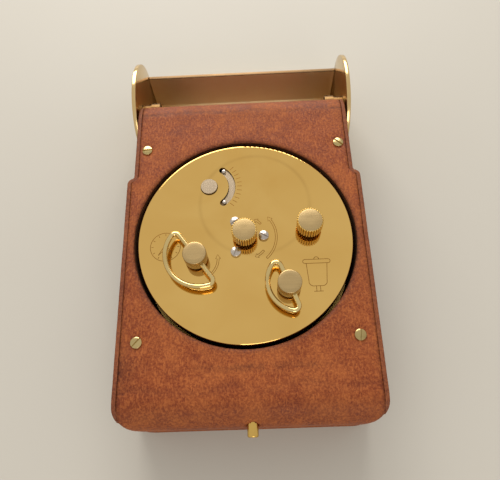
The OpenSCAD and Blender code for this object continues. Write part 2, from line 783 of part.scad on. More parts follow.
module alarm_wheel() {
    color("gold") at(C) union() {
        wheel(alarm_n, alarm_m, gap_phase(A, C, alarm_n), hour_pipe_r + run, alarm_wheel_z);
        ring(alarm_pipe_r, hour_pipe_r + run, alarm_z - 0.1, alarm_wheel_z);
    }
}

// Winding: post with a cross hole for the bail
bail_z = back_z + 3;
module key_post(angle) {
    difference() {
        union() {
            rod(key_post_d / 2, knob_z - key_post_h, knob_z);
            rod(2.4, key_neck_z, knob_z - key_post_h);
        }
        translate([0, 0, bail_z]) rotate([0, 0, angle]) rod_x(bail_wire_d / 2 + run, -5, 5);
    }
}
key_neck_z = ratchet_z + ratchet_t;
time_bail_angle = -54;
alarm_bail_angle = -69;
module time_key() { color("gold") at(T) key_post(time_bail_angle); }
module alarm_key() { color("gold") at(L) key_post(alarm_bail_angle); }
module barrel_arbor() {
    rod(barrel_arbor_r, fplate_z1 + 0.2, key_neck_z);
    rod(1.2, fplate_z0 + 0.3, fplate_z1 + 0.2);
}
module time_arbor() { color("silver") at(T) barrel_arbor(); }
module alarm_arbor() { color("silver") at(L) barrel_arbor(); }
module ratchet(r) {
    translate([0, 0, ratchet_z]) linear_extrude(ratchet_t) difference() {
        ratchet_outline(ratchet_n, r, 0.8);
        circle(barrel_arbor_r);
    }
}
time_ratchet_r = 6.3 * layout;
alarm_ratchet_r = 5.2 * layout;
module time_ratchet() { color("silver") at(T) ratchet(time_ratchet_r); }
module alarm_ratchet() { color("silver") at(L) ratchet(alarm_ratchet_r); }
// D-shaped wire bail lying flat on one side of its straight bar: a closed tube swept round two
// tight bends and one wide bow, each ring facing along its own angle. The bow's centre lies past
// the bar by as much as makes the bow run smoothly into the bends
module bail(half, depth) {
    w = bail_wire_d / 2;
    bend = bail_bend;
    low = depth - w;
    xc = half - w - bend;
    past = (xc * xc + bend * bend - (low - bend) * (low - bend)) / (2 * (low - 2 * bend));
    turn = atan2(past + bend, xc);
    function stretch(centre, r, a0, a1, n) =
        [for (i = [0 : n]) let(a = a0 + (a1 - a0) * i / n) [centre + polar(r, a), a]];
    rings = concat(stretch([xc, -bend], bend, -turn, 90, 8),
        stretch([-xc, -bend], bend, 90, 180 + turn, 8),
        stretch([0, past], low + past, 180 + turn, 360 - turn, 34));
    path = [for (i = [0 : len(rings) - 1])
        if (i == 0 || norm(rings[i][0] - rings[i - 1][0]) > 0.01) rings[i]];
    loop = [for (i = [0 : len(path) - 2]) path[i]];
    n = len(loop);
    sides = 12;
    pts = [for (i = [0 : n - 1], j = [0 : sides - 1]) let(b = (j + 0.5) * 360 / sides,
        p = loop[i][0] + polar(w * cos(b), loop[i][1])) [p[0], p[1], w * sin(b)]];
    faces = [for (i = [0 : n - 1], j = [0 : sides - 1])
        let(k = (i + 1) % n, m = (j + 1) % sides)
        [i * sides + j, i * sides + m, k * sides + m, k * sides + j]];
    translate([0, 0, bail_z]) polyhedron(points = pts, faces = faces);
}
module time_bail() { color("gold") at(T) rotate(time_bail_angle) bail(time_bail_half, time_bail_depth); }
module alarm_bail() { color("gold") at(L) rotate(alarm_bail_angle) bail(alarm_bail_half, alarm_bail_depth); }
// Sprung pawl whose tip stands just clear of the ratchet's teeth
module click(p, centre) {
    at(p) {
        rod(0.6, bplate_z1 - 1.2, ratchet_z);
        translate([0, 0, ratchet_z]) linear_extrude(ratchet_t)
            rotate(heading(p, centre) + click_angle) {
                circle(1.2);
                translate([0, -0.45]) square([click_len, 0.9]);
            }
    }
}
click_angle = 62;
click_len = 3.6;
module time_click() { color("silver") click(TIME_CLICK, T); }
module alarm_click() { color("silver") click(ALARM_CLICK, L); }

// Toothed going barrel: a drum with a lid, open inside for its spring
module barrel(n, m, phase) {
    drum_r = n * m / 2 - 2.2 * m;
    z0 = fplate_z1 + 0.7;
    difference() {
        union() {
            rod(drum_r, z0, barrel_teeth_z);
            pinion(n, m, phase, 0, barrel_teeth_z, barrel_teeth_t);
        }
        rod(barrel_arbor_r + run, z0 - 1, bplate_z0);
        ring(drum_r - 0.8, barrel_arbor_r + 1, z0 + 0.8, barrel_teeth_z - 0.2);
    }
}
module time_barrel() { color("gold") at(T) barrel(barrel_n, barrel_m, heading(T, C)); }
module alarm_barrel() { color("gold") at(L) barrel(alarm_barrel_n, alarm_barrel_m, 60); }
module centre_wheel() {
    color("gold") at(C) union() {
        wheel(centre_n, centre_m, heading(C, THIRD), arbor_r + run, centre_wheel_z);
        ring(1.3, arbor_r + run, fplate_z1 + 0.2, bplate_z0 - 0.3);
        pinion(centre_pinion_n, barrel_m, gap_phase(T, C, centre_pinion_n), arbor_r + run,
            barrel_teeth_z - 0.2, barrel_teeth_t + 0.4);
    }
}
module third_wheel() {
    color("gold") at(THIRD) union() {
        wheel(third_n, third_m, heading(THIRD, FOURTH), 0, third_wheel_z);
        pinion(leaf_n, centre_m, gap_phase(C, THIRD, leaf_n), 0, centre_wheel_z - 0.2, wheel_t + 0.4);
        arbor();
    }
}
module fourth_wheel() {
    color("gold") at(FOURTH) union() {
        wheel(fourth_n, fourth_m, heading(FOURTH, ESCAPE), 0, fourth_wheel_z);
        pinion(leaf_n, third_m, gap_phase(THIRD, FOURTH, leaf_n), 0, third_wheel_z - 0.2, wheel_t + 0.4);
        arbor();
    }
}
escape_r = 2.6 * layout;
module escape_wheel() {
    color("gold") at(ESCAPE) union() {
        translate([0, 0, escape_z]) linear_extrude(0.4) polygon([
            for (i = [0 : escape_n - 1]) let(p = 360 / escape_n)
                each [polar(escape_r * 0.72, i * p), polar(escape_r, i * p + 0.25 * p),
                    polar(escape_r, i * p + 0.35 * p), polar(escape_r * 0.72, i * p + 0.45 * p)]]);
        pinion(escape_pinion_n, fourth_m, gap_phase(FOURTH, ESCAPE, escape_pinion_n), 0,
            fourth_wheel_z - 0.2, wheel_t + 0.4);
        arbor();
    }
}
// Anchor with two pallets and a fork, pivoted between the escape wheel and the balance
pallet_angle = 67;
pallet_len = 2.3 * layout;
fork_len = pallet_from_balance - 1.5;
module pallet_lever() {
    away = heading(PALLET, ESCAPE);
    color("silver") at(PALLET) union() {
        translate([0, 0, escape_z]) linear_extrude(0.4) rotate(away) {
            for (s = [-1, 1]) rotate(s * pallet_angle) translate([0, -0.25]) square([pallet_len, 0.5]);
            translate([-fork_len, -0.25]) square([fork_len, 0.5]);
        }
        arbor();
    }
}
module balance_wheel() {
    color("gold") at(B) union() {
        ring(balance_r, balance_r - 0.8, balance_z, balance_z + balance_t);
        for (a = [0, 90]) rotate(a)
            block(-balance_r + 0.3, balance_r - 0.3, -0.4, 0.4, balance_z + 0.3, balance_z + 0.8);
        rod(1.2, roller_z, roller_z + 0.5);
        rod(arbor_r, fplate_z1 + 0.2, bplate_z0 - 0.4);
        rod(pivot_r, fplate_z0 + 0.3, bplate_z1 + 0.5);
    }
}
// Flat spiral spring on the balance staff, each point further out by the same share of a turn
module hairspring() {
    turns = 6;
    steps = 24;
    r0 = arbor_r - 0.02;
    r1 = balance_r - 1;
    thick = 0.14;
    function r_at(i) = r0 + (r1 - r0) * i / (turns * steps);
    color("steelblue") at(B) translate([0, 0, hairspring_z]) linear_extrude(0.5) polygon(concat(
        [for (i = [0 : turns * steps]) polar(r_at(i), i * 360 / steps)],
        [for (i = [turns * steps : -1 : 0]) polar(r_at(i) + thick, i * 360 / steps)]));
}
reg_z = cock_z1 + 0.1;
module regulator_index() {
    color("silver") at(B) union() {
        rod(reg_hub_r, reg_z, back_z + 0.6);
        rod(0.8, bplate_z1 + 0.65, reg_z);
        block(0, reg_slot_r, -1, 1, reg_z, cap_z - 0.3);
        arc_bar(reg_slot_r, reg_slot_w + 0.8, -46, 46, reg_z, cap_z - 0.3);
        arc_bar(reg_slot_r, reg_slot_w - 0.3, -44, 45, reg_z + 0.5, back_z - 0.5);
    }
}
// Hammer that strikes the inside of the cap's skirt
module alarm_hammer() {
    head = polar(skirt_r - 1.4, -25) - HAMMER;
    color("silver") at(HAMMER) union() {
        arbor();
        translate([0, 0, hammer_z]) linear_extrude(1.2) {
            circle(1.3);
            rotate(atan2(head[1], head[0])) translate([0, -0.5]) square([norm(head), 1]);
            translate(head) circle(1);
        }
    }
}
hammer_z = bplate_z0 - 1.9;
// Push button with the latch slide that it carries
module push_button() {
    r = button_d / 2;
    y0 = y_button - button_out;
    color("gold") translate([button_x, 0, 0]) union() {
        translate([0, 0, button_z]) {
            rod_y(r, y0 + 0.5, pocket_y0 + 1);
            rod_y(r - 0.5, y0, y0 + 1);
            translate([0, y0 + 0.5, 0]) rotate([-90, 0, 0]) rotate_extrude()
                translate([r - 0.5, 0]) circle(0.5);
        }
        block(-latch_half, latch_half, pocket_y0 + 0.1, pocket_y0 + 1.1, latch_z, button_z + 2.2);
        for (s = [-1, 1]) translate([s * (latch_half - 0.5), 0, 0])
            block(-0.5, 0.5, pocket_y0 + 0.1, catch_y + 4.1, latch_z, latch_z + 1.5);
        block(-latch_half, latch_half, catch_y + 2.9, catch_y + 4.1, latch_z, latch_z + 1.5);
    }
}
latch_z = catch_top - 2.6;
// Coil spring between the latch slide and the pocket's wall, swept along its own helix
module button_spring() {
    turns = 6;
    steps = 16;
    wire = 0.25;
    coil_r = 1.7;
    y0 = pocket_y0 + 1.1 + wire;
    y1 = pocket_y1 - wire;
    n = turns * steps;
    function spine(i) = [coil_r * cos(i * 360 / steps), y0 + (y1 - y0) * i / n,
        coil_r * sin(i * 360 / steps)];
    pts = [for (i = [0 : n], j = [0 : 7]) let(a = i * 360 / steps, b = j * 45,
        out = [cos(a), 0, sin(a)])
        spine(i) + wire * cos(b) * out + wire * sin(b) * [0, 1, 0]];
    sides = [for (i = [0 : n - 1], j = [0 : 7]) let(k = (j + 1) % 8)
        [i * 8 + j, i * 8 + k, (i + 1) * 8 + k, (i + 1) * 8 + j]];
    color("silver") translate([button_x, 0, button_z]) polyhedron(
        points = pts,
        faces = concat(sides, [[for (j = [7 : -1 : 0]) j]], [[for (j = [0 : 7]) n * 8 + j]]));
}

cover_core();
cover_leather();
cover_lining();
hinge_cheek_left();
hinge_cheek_right();
hinge_end_plate();
hinge_pins();
cheek_rivets();
catch_plate();
case_core();
case_leather_back();
case_leather_sides();
case_leather_front();
hinge_lugs();
case_screws();
back_cap();
cap_screws();
bezel();
crystal();
dial_ring();
dial();
front_plate();
back_plate();
pillars();
movement_screws();
balance_cock();
set_knob();
centre_arbor();
cannon_pinion();
minute_hand();
minute_wheel();
hour_wheel();
hour_hand();
alarm_knob();
alarm_set_arbor();
alarm_wheel();
alarm_hand();
time_key();
time_arbor();
time_ratchet();
time_bail();
alarm_key();
alarm_arbor();
alarm_ratchet();
alarm_bail();
time_click();
alarm_click();
time_barrel();
alarm_barrel();
centre_wheel();
third_wheel();
fourth_wheel();
escape_wheel();
pallet_lever();
balance_wheel();
hairspring();
regulator_index();
alarm_hammer();
push_button();
button_spring();
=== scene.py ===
"""Looks of a leather-covered folding travel alarm clock, built round its CAD frame."""
import logging
import math
from collections.abc import Sequence
from dataclasses import dataclass, field
from enum import Enum

import bmesh
import bpy
from mathutils import Euler, Matrix, Vector, noise


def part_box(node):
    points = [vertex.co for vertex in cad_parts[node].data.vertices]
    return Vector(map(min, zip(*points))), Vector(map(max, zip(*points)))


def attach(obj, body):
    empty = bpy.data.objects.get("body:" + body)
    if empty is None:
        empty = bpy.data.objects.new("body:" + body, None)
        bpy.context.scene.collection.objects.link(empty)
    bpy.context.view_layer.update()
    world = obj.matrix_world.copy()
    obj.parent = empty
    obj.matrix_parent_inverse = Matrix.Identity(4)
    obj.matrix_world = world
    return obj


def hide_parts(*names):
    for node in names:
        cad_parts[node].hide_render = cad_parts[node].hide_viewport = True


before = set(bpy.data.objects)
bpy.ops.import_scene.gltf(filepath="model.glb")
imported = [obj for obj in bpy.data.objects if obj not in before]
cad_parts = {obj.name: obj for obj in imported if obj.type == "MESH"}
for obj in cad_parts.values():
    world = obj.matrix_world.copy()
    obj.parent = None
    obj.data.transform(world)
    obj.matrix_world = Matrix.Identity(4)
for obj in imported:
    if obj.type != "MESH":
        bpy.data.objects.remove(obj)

log = logging.getLogger("travel_clock")
MM = 0.001
MERGE = 1e-7
TINY = 1e-6
FULL_TURN = 360.0
SHARP_EDGE = 38.0
BEVELLED_EDGE = 50.0
Point = tuple[float, float]
Colour = tuple[float, float, float]
Socket = bpy.types.NodeSocket
Material = bpy.types.Material
Object = bpy.types.Object
BMesh = bmesh.types.BMesh


def srgb(red: int, green: int, blue: int) -> Colour:
    """Turns an 8-bit display colour into a linear one.

    Args:
        red: red from 0 to 255.
        green: green from 0 to 255.
        blue: blue from 0 to 255.

    Returns:
        The linear colour, each part from 0 to 1.
    """
    def linear(value: int) -> float:
        """Undoes the display curve for one part of the colour."""
        share = value / 255
        return share / 12.92 if share <= 0.04045 else ((share + 0.055) / 1.055) ** 2.4

    return linear(red), linear(green), linear(blue)


def polar(radius: float, degrees: float, centre: Point = (0.0, 0.0)) -> Point:
    """Gives the point at a radius and an angle round a centre."""
    turn = math.radians(degrees)
    return centre[0] + radius * math.cos(turn), centre[1] + radius * math.sin(turn)


def arc(radius: float, start: float, end: float, steps: int, centre: Point = (0.0, 0.0)) -> list[Point]:
    """Lists points along an arc, both ends included.

    Args:
        radius: radius of the arc.
        start: first angle in degrees.
        end: last angle in degrees.
        steps: number of spans.
        centre: middle of the arc.

    Returns:
        The points in order.
    """
    return [polar(radius, start + (end - start) * i / steps, centre) for i in range(steps + 1)]


def middle(node: str) -> Point:
    """Gives the middle of a CAD node in plan."""
    low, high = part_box(node)
    return (low.x + high.x) / 2, (low.y + high.y) / 2


def middle_z(node: str) -> float:
    """Gives the height of a CAD node's middle."""
    low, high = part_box(node)
    return (low.z + high.z) / 2


def regulator_pivot() -> Point:
    """Gives the point that the regulator turns about."""
    disc_r = 2.5 * MM
    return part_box("regulator_index")[0].x + disc_r, middle("balance_wheel")[1]


def clamp(value: float, top: float = 1.0) -> float:
    """Keeps a value between zero and a top value."""
    return max(0.0, min(top, value))


def fade(distance: float, reach: float) -> float:
    """Falls from one, at a distance of zero or less, towards zero."""
    return math.exp(-max(distance, 0.0) / reach)


def hump(distance: float, width: float) -> float:
    """Gives one at a distance of zero, and fades on both sides."""
    return math.exp(-(distance / width) ** 2)


def seat(made: Object, body: str, node: str = "") -> None:
    """Seats a piece of the clock.

    Args:
        made: the piece.
        body: the body that it rides on.
        node: the CAD node that it replaces, or nothing for an added piece.
    """
    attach(made, body)
    if node:
        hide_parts(node)


# ---- Materials ----


class Tree:
    """Short names for the steps of one node-based material."""

    def __init__(self, name: str) -> None:
        """Starts a material with an output and a principled shader.

        Args:
            name: name of the material.
        """
        self.material = bpy.data.materials.new(name)
        self.material.use_nodes = True
        self.nodes = self.material.node_tree.nodes
        self.links = self.material.node_tree.links
        self.nodes.clear()
        self.shader = self.nodes.new("ShaderNodeBsdfPrincipled")
        output = self.nodes.new("ShaderNodeOutputMaterial")
        self.links.new(self.shader.outputs[0], output.inputs[0])
        self.object_space = self.nodes.new("ShaderNodeTexCoord").outputs["Object"]

    def set(self, **values: float | Colour) -> None:
        """Sets constant shader inputs, named with _ for a space."""
        for name, value in values.items():
            socket = self.shader.inputs[name.replace("_", " ")]
            socket.default_value = (*value, 1.0) if isinstance(value, tuple) else value

    def feed(self, name: str, source: Socket) -> None:
        """Links a node output into a shader input."""
        self.links.new(source, self.shader.inputs[name])

    def placed(self, scale: Colour = (1, 1, 1), at: Colour = (0, 0, 0), turn: float = 0.0
               ) -> Socket:
        """Gives object space moved so that a point is at zero, then turned and stretched.

        Args:
            scale: stretch along each axis.
            at: the point that becomes zero.
            turn: turn about Z in degrees.

        Returns:
            The vector socket.
        """
        shift = self.nodes.new("ShaderNodeMapping")
        self.links.new(self.object_space, shift.inputs[0])
        shift.inputs["Location"].default_value = [-value for value in at]
        stretch = self.nodes.new("ShaderNodeMapping")
        self.links.new(shift.outputs[0], stretch.inputs[0])
        stretch.inputs["Rotation"].default_value = (0, 0, math.radians(turn))
        stretch.inputs["Scale"].default_value = scale
        return stretch.outputs[0]

    def noise(self, scale: float, detail: float = 3.0, rough: float = 0.55, warp: float = 0.0,
              space: Socket | None = None) -> Socket:
        """Adds a noise texture.

        Args:
            scale: size of the pattern, in cycles a metre.
            detail: octaves.
            rough: strength of the fine octaves.
            warp: distortion.
            space: vector socket, or None for object space.

        Returns:
            The grey output.
        """
        node = self.nodes.new("ShaderNodeTexNoise")
        self.links.new(space or self.object_space, node.inputs["Vector"])
        node.inputs["Scale"].default_value = scale
        node.inputs["Detail"].default_value = detail
        node.inputs["Roughness"].default_value = rough
        node.inputs["Distortion"].default_value = warp
        return node.outputs[0]

    def cells(self, scale: float, feature: str = "F1") -> Socket:
        """Adds a cell texture.

        Args:
            scale: cells a metre.
            feature: the kind of distance that it measures.

        Returns:
            The distance output.
        """
        node = self.nodes.new("ShaderNodeTexVoronoi")
        node.feature = feature
        self.links.new(self.object_space, node.inputs["Vector"])
        node.inputs["Scale"].default_value = scale
        return node.outputs["Distance"]

    def attribute(self, name: str) -> Socket:
        """Reads a value that the mesh carries.

        Args:
            name: name of the value.

        Returns:
            The grey output.
        """
        node = self.nodes.new("ShaderNodeAttribute")
        node.attribute_name = name
        return node.outputs["Fac"]

    def ramp(self, source: Socket, stops: Sequence[tuple[float, Colour]]
             ) -> Socket:
        """Maps a grey value to colours.

        Args:
            source: the grey socket.
            stops: pairs of place and colour.

        Returns:
            The colour output.
        """
        node = self.nodes.new("ShaderNodeValToRGB")
        ramp = node.color_ramp
        while len(ramp.elements) < len(stops):
            ramp.elements.new(0.5)
        for element, (place, colour) in zip(ramp.elements, stops):
            element.position = place
            element.color = (*colour, 1.0)
        self.links.new(source, node.inputs[0])
        return node.outputs[0]

    def range(self, source: Socket, low: float, high: float, to_low: float,
              to_high: float) -> Socket:
        """Maps a grey range to another one, clamped.

        Args:
            source: the grey socket.
            low: start of its range.
            high: end of its range.
            to_low: what the start becomes.
            to_high: what the end becomes.

        Returns:
            The new grey output.
        """
        node = self.nodes.new("ShaderNodeMapRange")
        self.links.new(source, node.inputs[0])
        for index, value in enumerate((low, high, to_low, to_high), 1):
            node.inputs[index].default_value = value
        return node.outputs[0]

    def math(self, kind: str, first: Socket, second: Socket | float
             ) -> Socket:
        """Joins two grey values with an operation.

        Args:
            kind: the operation.
            first: the first socket.
            second: a socket or a fixed value.

        Returns:
            The grey output.
        """
        node = self.nodes.new("ShaderNodeMath")
        node.operation = kind
        self.links.new(first, node.inputs[0])
        if isinstance(second, float):
            node.inputs[1].default_value = second
        else:
            self.links.new(second, node.inputs[1])
        return node.outputs[0]

    def mix(self, share: Socket | float, first: Socket | Colour,
            second: Socket | Colour) -> Socket:
        """Mixes two colours.

        Args:
            share: how much of the second one.
            first: colour or socket.
            second: colour or socket.

        Returns:
            The colour output.
        """
        node = self.nodes.new("ShaderNodeMix")
        node.data_type = "RGBA"
        factor, colour_a, colour_b = node.inputs[0], node.inputs[6], node.inputs[7]
        for socket, value in ((factor, share), (colour_a, first), (colour_b, second)):
            if isinstance(value, Socket):
                self.links.new(value, socket)
            else:
                socket.default_value = (*value, 1.0) if isinstance(value, tuple) else value
        return node.outputs[2]

    def bump(self, height: Socket, depth: float, strength: float,
             under: Socket | None = None) -> Socket:
        """Adds a bump.

        Args:
            height: the grey socket that is raised.
            depth: its real depth in metres.
            strength: its share, from 0 to 1.
            under: another bump that it lies on.

        Returns:
            The normal output.
        """
        node = self.nodes.new("ShaderNodeBump")
        node.inputs["Strength"].default_value = strength
        node.inputs["Distance"].default_value = depth
        self.links.new(height, node.inputs["Height"])
        if under is not None:
            self.links.new(under, node.inputs["Normal"])
        return node.outputs[0]


class Grain(Enum):
    """Ways in which a metal surface is worked."""

    POLISHED = (260.0, 260.0, 260.0)
    ALONG_Z = (2600.0, 2600.0, 60.0)
    ALONG_X = (60.0, 2600.0, 2600.0)
    ALONG_Y = (2600.0, 60.0, 2600.0)


@dataclass(frozen=True)
class Metal:
    """A metal finish with its grain, smears and fine scratches, and if asked a painted shade above a set
    height.
    """

    name: str
    colour: Colour
    tarnish: Colour
    roughness: float
    spread: float = 0.06
    grain: Grain = Grain.POLISHED
    grain_depth: float = 0.0
    tarnish_share: float = 0.35
    # Painted shade: when set, the colour above this height is blended towards the dark colour below.
    dark_above: float = 0.0
    dark: Colour = srgb(116, 82, 44)

    def build(self) -> Material:
        """Builds the material.

        Returns:
            The material.
        """
        tree = Tree(self.name)
        smears = tree.noise(90, 4, 0.6, 0.6)
        patch = tree.range(smears, 0.42, 0.72, 0.0, self.tarnish_share)
        base = tree.mix(patch, self.colour, self.tarnish)
        if self.dark_above:
            # Painted shade over the top of the piece, above the set height.
            split = tree.nodes.new("ShaderNodeSeparateXYZ")
            tree.links.new(tree.object_space, split.inputs[0])
            fade_over = 0.3 * MM
            top = tree.range(split.outputs["Z"], self.dark_above, self.dark_above + fade_over, 0.0, 0.9)
            base = tree.mix(top, base, self.dark)
        tree.feed("Base Color", base)
        streaks = tree.noise(1, 3, 0.6, 0.0, tree.placed(self.grain.value))
        wear = tree.math("MULTIPLY", streaks, tree.range(smears, 0.3, 0.7, 0.7, 1.3))
        tree.feed("Roughness", tree.range(wear, 0.2, 0.8, max(self.roughness - self.spread, 0.02),
                                          self.roughness + self.spread))
        if self.grain_depth:
            tree.feed("Normal", tree.bump(streaks, self.grain_depth, 0.6))
        else:
            tree.feed("Normal", tree.bump(tree.noise(420, 2), 0.004 * MM, 0.25))
        tree.set(Metallic=1.0)
        return tree.material


@dataclass(frozen=True)
class PressedCap:
    """Polished lacquered brass with one faint pressed ring and soft smears."""

    ring_at: Point
    ring_r: float
    colour: Colour = srgb(228, 189, 112)
    tarnish: Colour = srgb(215, 171, 92)
    ring_colour: Colour = srgb(128, 92, 45)
    ring_half: float = 0.9 * MM
    ring_share: float = 0.16

    def build(self) -> Material:
        """Builds the material.

        Returns:
            The material.
        """
        tree = Tree("cap_brass")
        smears = tree.noise(45, 3, 0.5, 0.8)
        patch = tree.range(smears, 0.35, 0.75, 0.0, 0.6)
        base = tree.mix(patch, self.colour, self.tarnish)
        place = tree.placed(at=(*self.ring_at, 0.0))
        flat = tree.nodes.new("ShaderNodeVectorMath")
        flat.operation = "MULTIPLY"
        flat.inputs[1].default_value = (1, 1, 0)
        tree.links.new(place, flat.inputs[0])
        length = tree.nodes.new("ShaderNodeVectorMath")
        length.operation = "LENGTH"
        tree.links.new(flat.outputs[0], length.inputs[0])
        off = tree.math("ABSOLUTE", tree.math("SUBTRACT", length.outputs["Value"], self.ring_r), 0.0)
        ring = tree.range(off, 0.0, self.ring_half, 1.0, 0.0)
        broken = tree.math("MULTIPLY", ring, tree.range(tree.noise(60), 0.35, 0.6, 0.25, 1.0))
        share = tree.math("MULTIPLY", broken, self.ring_share)
        tree.feed("Base Color", tree.mix(share, base, self.ring_colour))
        tree.feed("Roughness", tree.range(smears, 0.3, 0.7, 0.045, 0.085))
        ripple = tree.bump(tree.noise(70, 2), 0.012 * MM, 0.25)
        tree.feed("Normal", tree.bump(broken, 0.02 * MM, 0.3, ripple))
        tree.set(Metallic=1.0)
        return tree.material


@dataclass(frozen=True)
class Leather:
    """Waxed pigskin: mottled and pored, darker where it is handled, with painted shade in its creases and
    pores and painted sheen along its streaks.
    """

    name: str
    light: Colour
    body: Colour
    dark: Colour
    soot: Colour
    roughness: float = 0.56

    def build(self) -> Material:
        """Builds the material.

        Returns:
            The material.
        """
        tree = Tree(self.name)
        cloud = tree.noise(110, 5, 0.65, 0.7)
        mottle = tree.noise(1500, 4, 0.75, 0.3)
        streak = tree.noise(1, 3, 0.65, 0.4, tree.placed((1900, 560, 1900), turn=8))
        base = tree.ramp(cloud, [(0.3, self.dark), (0.47, self.body), (0.62, self.light)])
        flecks = tree.ramp(mottle, [(0.38, self.dark), (0.5, self.body), (0.62, self.light)])
        skin = tree.mix(0.62, base, flecks)
        # Lighter streaks along the grain: part wear, part painted sheen.
        wear_and_sheen = tree.range(streak, 0.52, 0.64, 0.0, 0.75)
        skin = tree.mix(wear_and_sheen, skin, self.light)
        reddish = tree.range(tree.noise(150, 3, 0.6, 1.1), 0.54, 0.72, 0.0, 0.4)
        skin = tree.mix(reddish, skin, self.dark)
        # Dirt and painted shade: the mesh's values pull the skin towards the darkest colour.
        grime = tree.math("MULTIPLY", tree.attribute("grime"), tree.range(mottle, 0.3, 0.6, 1.15, 0.7))
        skin = tree.mix(grime, skin, self.soot)
        # Painted shade in the pore pits, with some dirt.
        pores = tree.cells(1150)
        pits = tree.range(pores, 0.0, 0.3, 0.0, 1.0)
        pore_shade = tree.range(pores, 0.0, 0.22, 0.45, 0.0)
        tree.feed("Base Color", tree.mix(pore_shade, skin, self.soot))
        shine = tree.math("ADD", tree.range(cloud, 0.3, 0.7, -0.08, 0.08),
                          tree.range(mottle, 0.3, 0.7, self.roughness - 0.05, self.roughness + 0.1))
        tree.feed("Roughness", shine)
        folds = tree.bump(tree.cells(330, "SMOOTH_F1"), 0.16 * MM, 0.35)
        grain = tree.bump(mottle, 0.14 * MM, 0.55, folds)
        fine = tree.bump(streak, 0.06 * MM, 0.5, grain)
        tree.feed("Normal", tree.bump(pits, 0.06 * MM, 0.6, fine))
        tree.set(Specular_IOR_Level=0.24)
        return tree.material


@dataclass(frozen=True)
class Plush:
    """Short-piled cloth of the cover's lining."""

    colour: Colour
    shade: Colour

    def build(self) -> Material:
        """Builds the material.

        Returns:
            The material.
        """
        tree = Tree("plush")
        brushed = tree.noise(120, 4, 0.6, 1.2)
        pile = tree.noise(2600, 2, 0.6)
        tone = tree.mix(tree.range(brushed, 0.35, 0.65, 0.0, 1.0), self.colour, self.shade)
        tree.feed("Base Color", tree.mix(tree.range(pile, 0.35, 0.7, 0.35, 0.0), tone, self.shade))
        tree.feed("Normal", tree.bump(pile, 0.12 * MM, 0.7))
        tree.set(Roughness=0.92, Sheen_Weight=0.7, Sheen_Roughness=0.4, Specular_IOR_Level=0.1)
        return tree.material


@dataclass(frozen=True)
class Board:
    """Pressed board or wood, seen only in gaps and cut edges."""

    name: str
    colour: Colour
    shade: Colour

    def build(self) -> Material:
        """Builds the material.

        Returns:
            The material.
        """
        tree = Tree(self.name)
        fibre = tree.noise(1, 4, 0.6, 0.5, tree.placed((300, 60, 900)))
        tree.feed("Base Color", tree.ramp(fibre, [(0.3, self.shade), (0.7, self.colour)]))
        tree.feed("Roughness", tree.range(fibre, 0.3, 0.7, 0.75, 0.9))
        tree.feed("Normal", tree.bump(fibre, 0.1 * MM, 0.4))
        tree.set(Specular_IOR_Level=0.2)
        return tree.material


@dataclass(frozen=True)
class Enamel:
    """Paint or lacquer with a slight orange peel and age spots."""

    name: str
    colour: Colour
    aged: Colour
    roughness: float = 0.3

    def build(self) -> Material:
        """Builds the material.

        Returns:
            The material.
        """
        tree = Tree(self.name)
        age = tree.noise(140, 4, 0.6)
        tree.feed("Base Color", tree.mix(tree.range(age, 0.5, 0.75, 0.0, 0.6), self.colour, self.aged))
        tree.feed("Roughness", tree.range(age, 0.3, 0.7, self.roughness - 0.05, self.roughness + 0.08))
        tree.feed("Normal", tree.bump(tree.noise(1500, 2), 0.01 * MM, 0.3))
        tree.set(Specular_IOR_Level=0.25)
        return tree.material


@dataclass(frozen=True)
class Glass:
    """Clear mineral glass with a trace of dust."""

    clean: Colour = (0.96, 0.98, 0.98)
    dusty: Colour = (0.9, 0.93, 0.93)
    bending: float = 1.33

    def build(self) -> Material:
        """Builds the material.

        Returns:
            The material.
        """
        tree = Tree("glass")
        dust = tree.noise(900, 3, 0.7)
        tree.feed("Roughness", tree.range(dust, 0.6, 0.85, 0.0, 0.05))
        tree.feed("Base Color", tree.ramp(dust, [(0.0, self.clean), (1.0, self.dusty)]))
        tree.set(Transmission_Weight=1.0, IOR=self.bending)
        return tree.material


@dataclass(frozen=True)
class Table:
    """Matt pale laminate under the clock."""

    colour: Colour = srgb(192, 189, 181)
    cloud: Colour = srgb(184, 178, 168)

    def build(self) -> Material:
        """Builds the material.

        Returns:
            The material.
        """
        tree = Tree("table")
        soft = tree.noise(14, 3, 0.5)
        share = tree.range(soft, 0.3, 0.7, 0.0, 0.12)
        tree.feed("Base Color", tree.mix(share, self.colour, self.cloud))
        tree.feed("Normal", tree.bump(tree.noise(2400, 2), 0.02 * MM, 0.15))
        tree.set(Roughness=0.6, Specular_IOR_Level=0.25)
        return tree.material


# ---- Mesh helpers ----


def linked(name: str, data: bpy.types.ID) -> Object:
    """Adds an object to the scene.

    Args:
        name: its name.
        data: the mesh, curve, light or camera that it holds.

    Returns:
        The object.
    """
    result = bpy.data.objects.new(name, data)
    bpy.context.scene.collection.objects.link(result)
    return result


def shade(mesh: bpy.types.Mesh, sharp: float = SHARP_EDGE) -> None:
    """Smooths a mesh, apart from edges bent by more than the given degrees."""
    mesh.shade_smooth()
    mesh.set_sharp_from_angle(angle=math.radians(sharp))


def piece(name: str, bm: BMesh, material: Material, sharp: float = SHARP_EDGE
          ) -> Object:
    """Turns a bmesh into an object at the origin.

    Args:
        name: name of the piece.
        bm: the mesh, which is freed.
        material: its finish.
        sharp: edges bent by more than this many degrees stay sharp.

    Returns:
        The new object.
    """
    mesh = bpy.data.meshes.new(name)
    bm.to_mesh(mesh)
    bm.free()
    shade(mesh, sharp)
    mesh.materials.append(material)
    return linked(name, mesh)


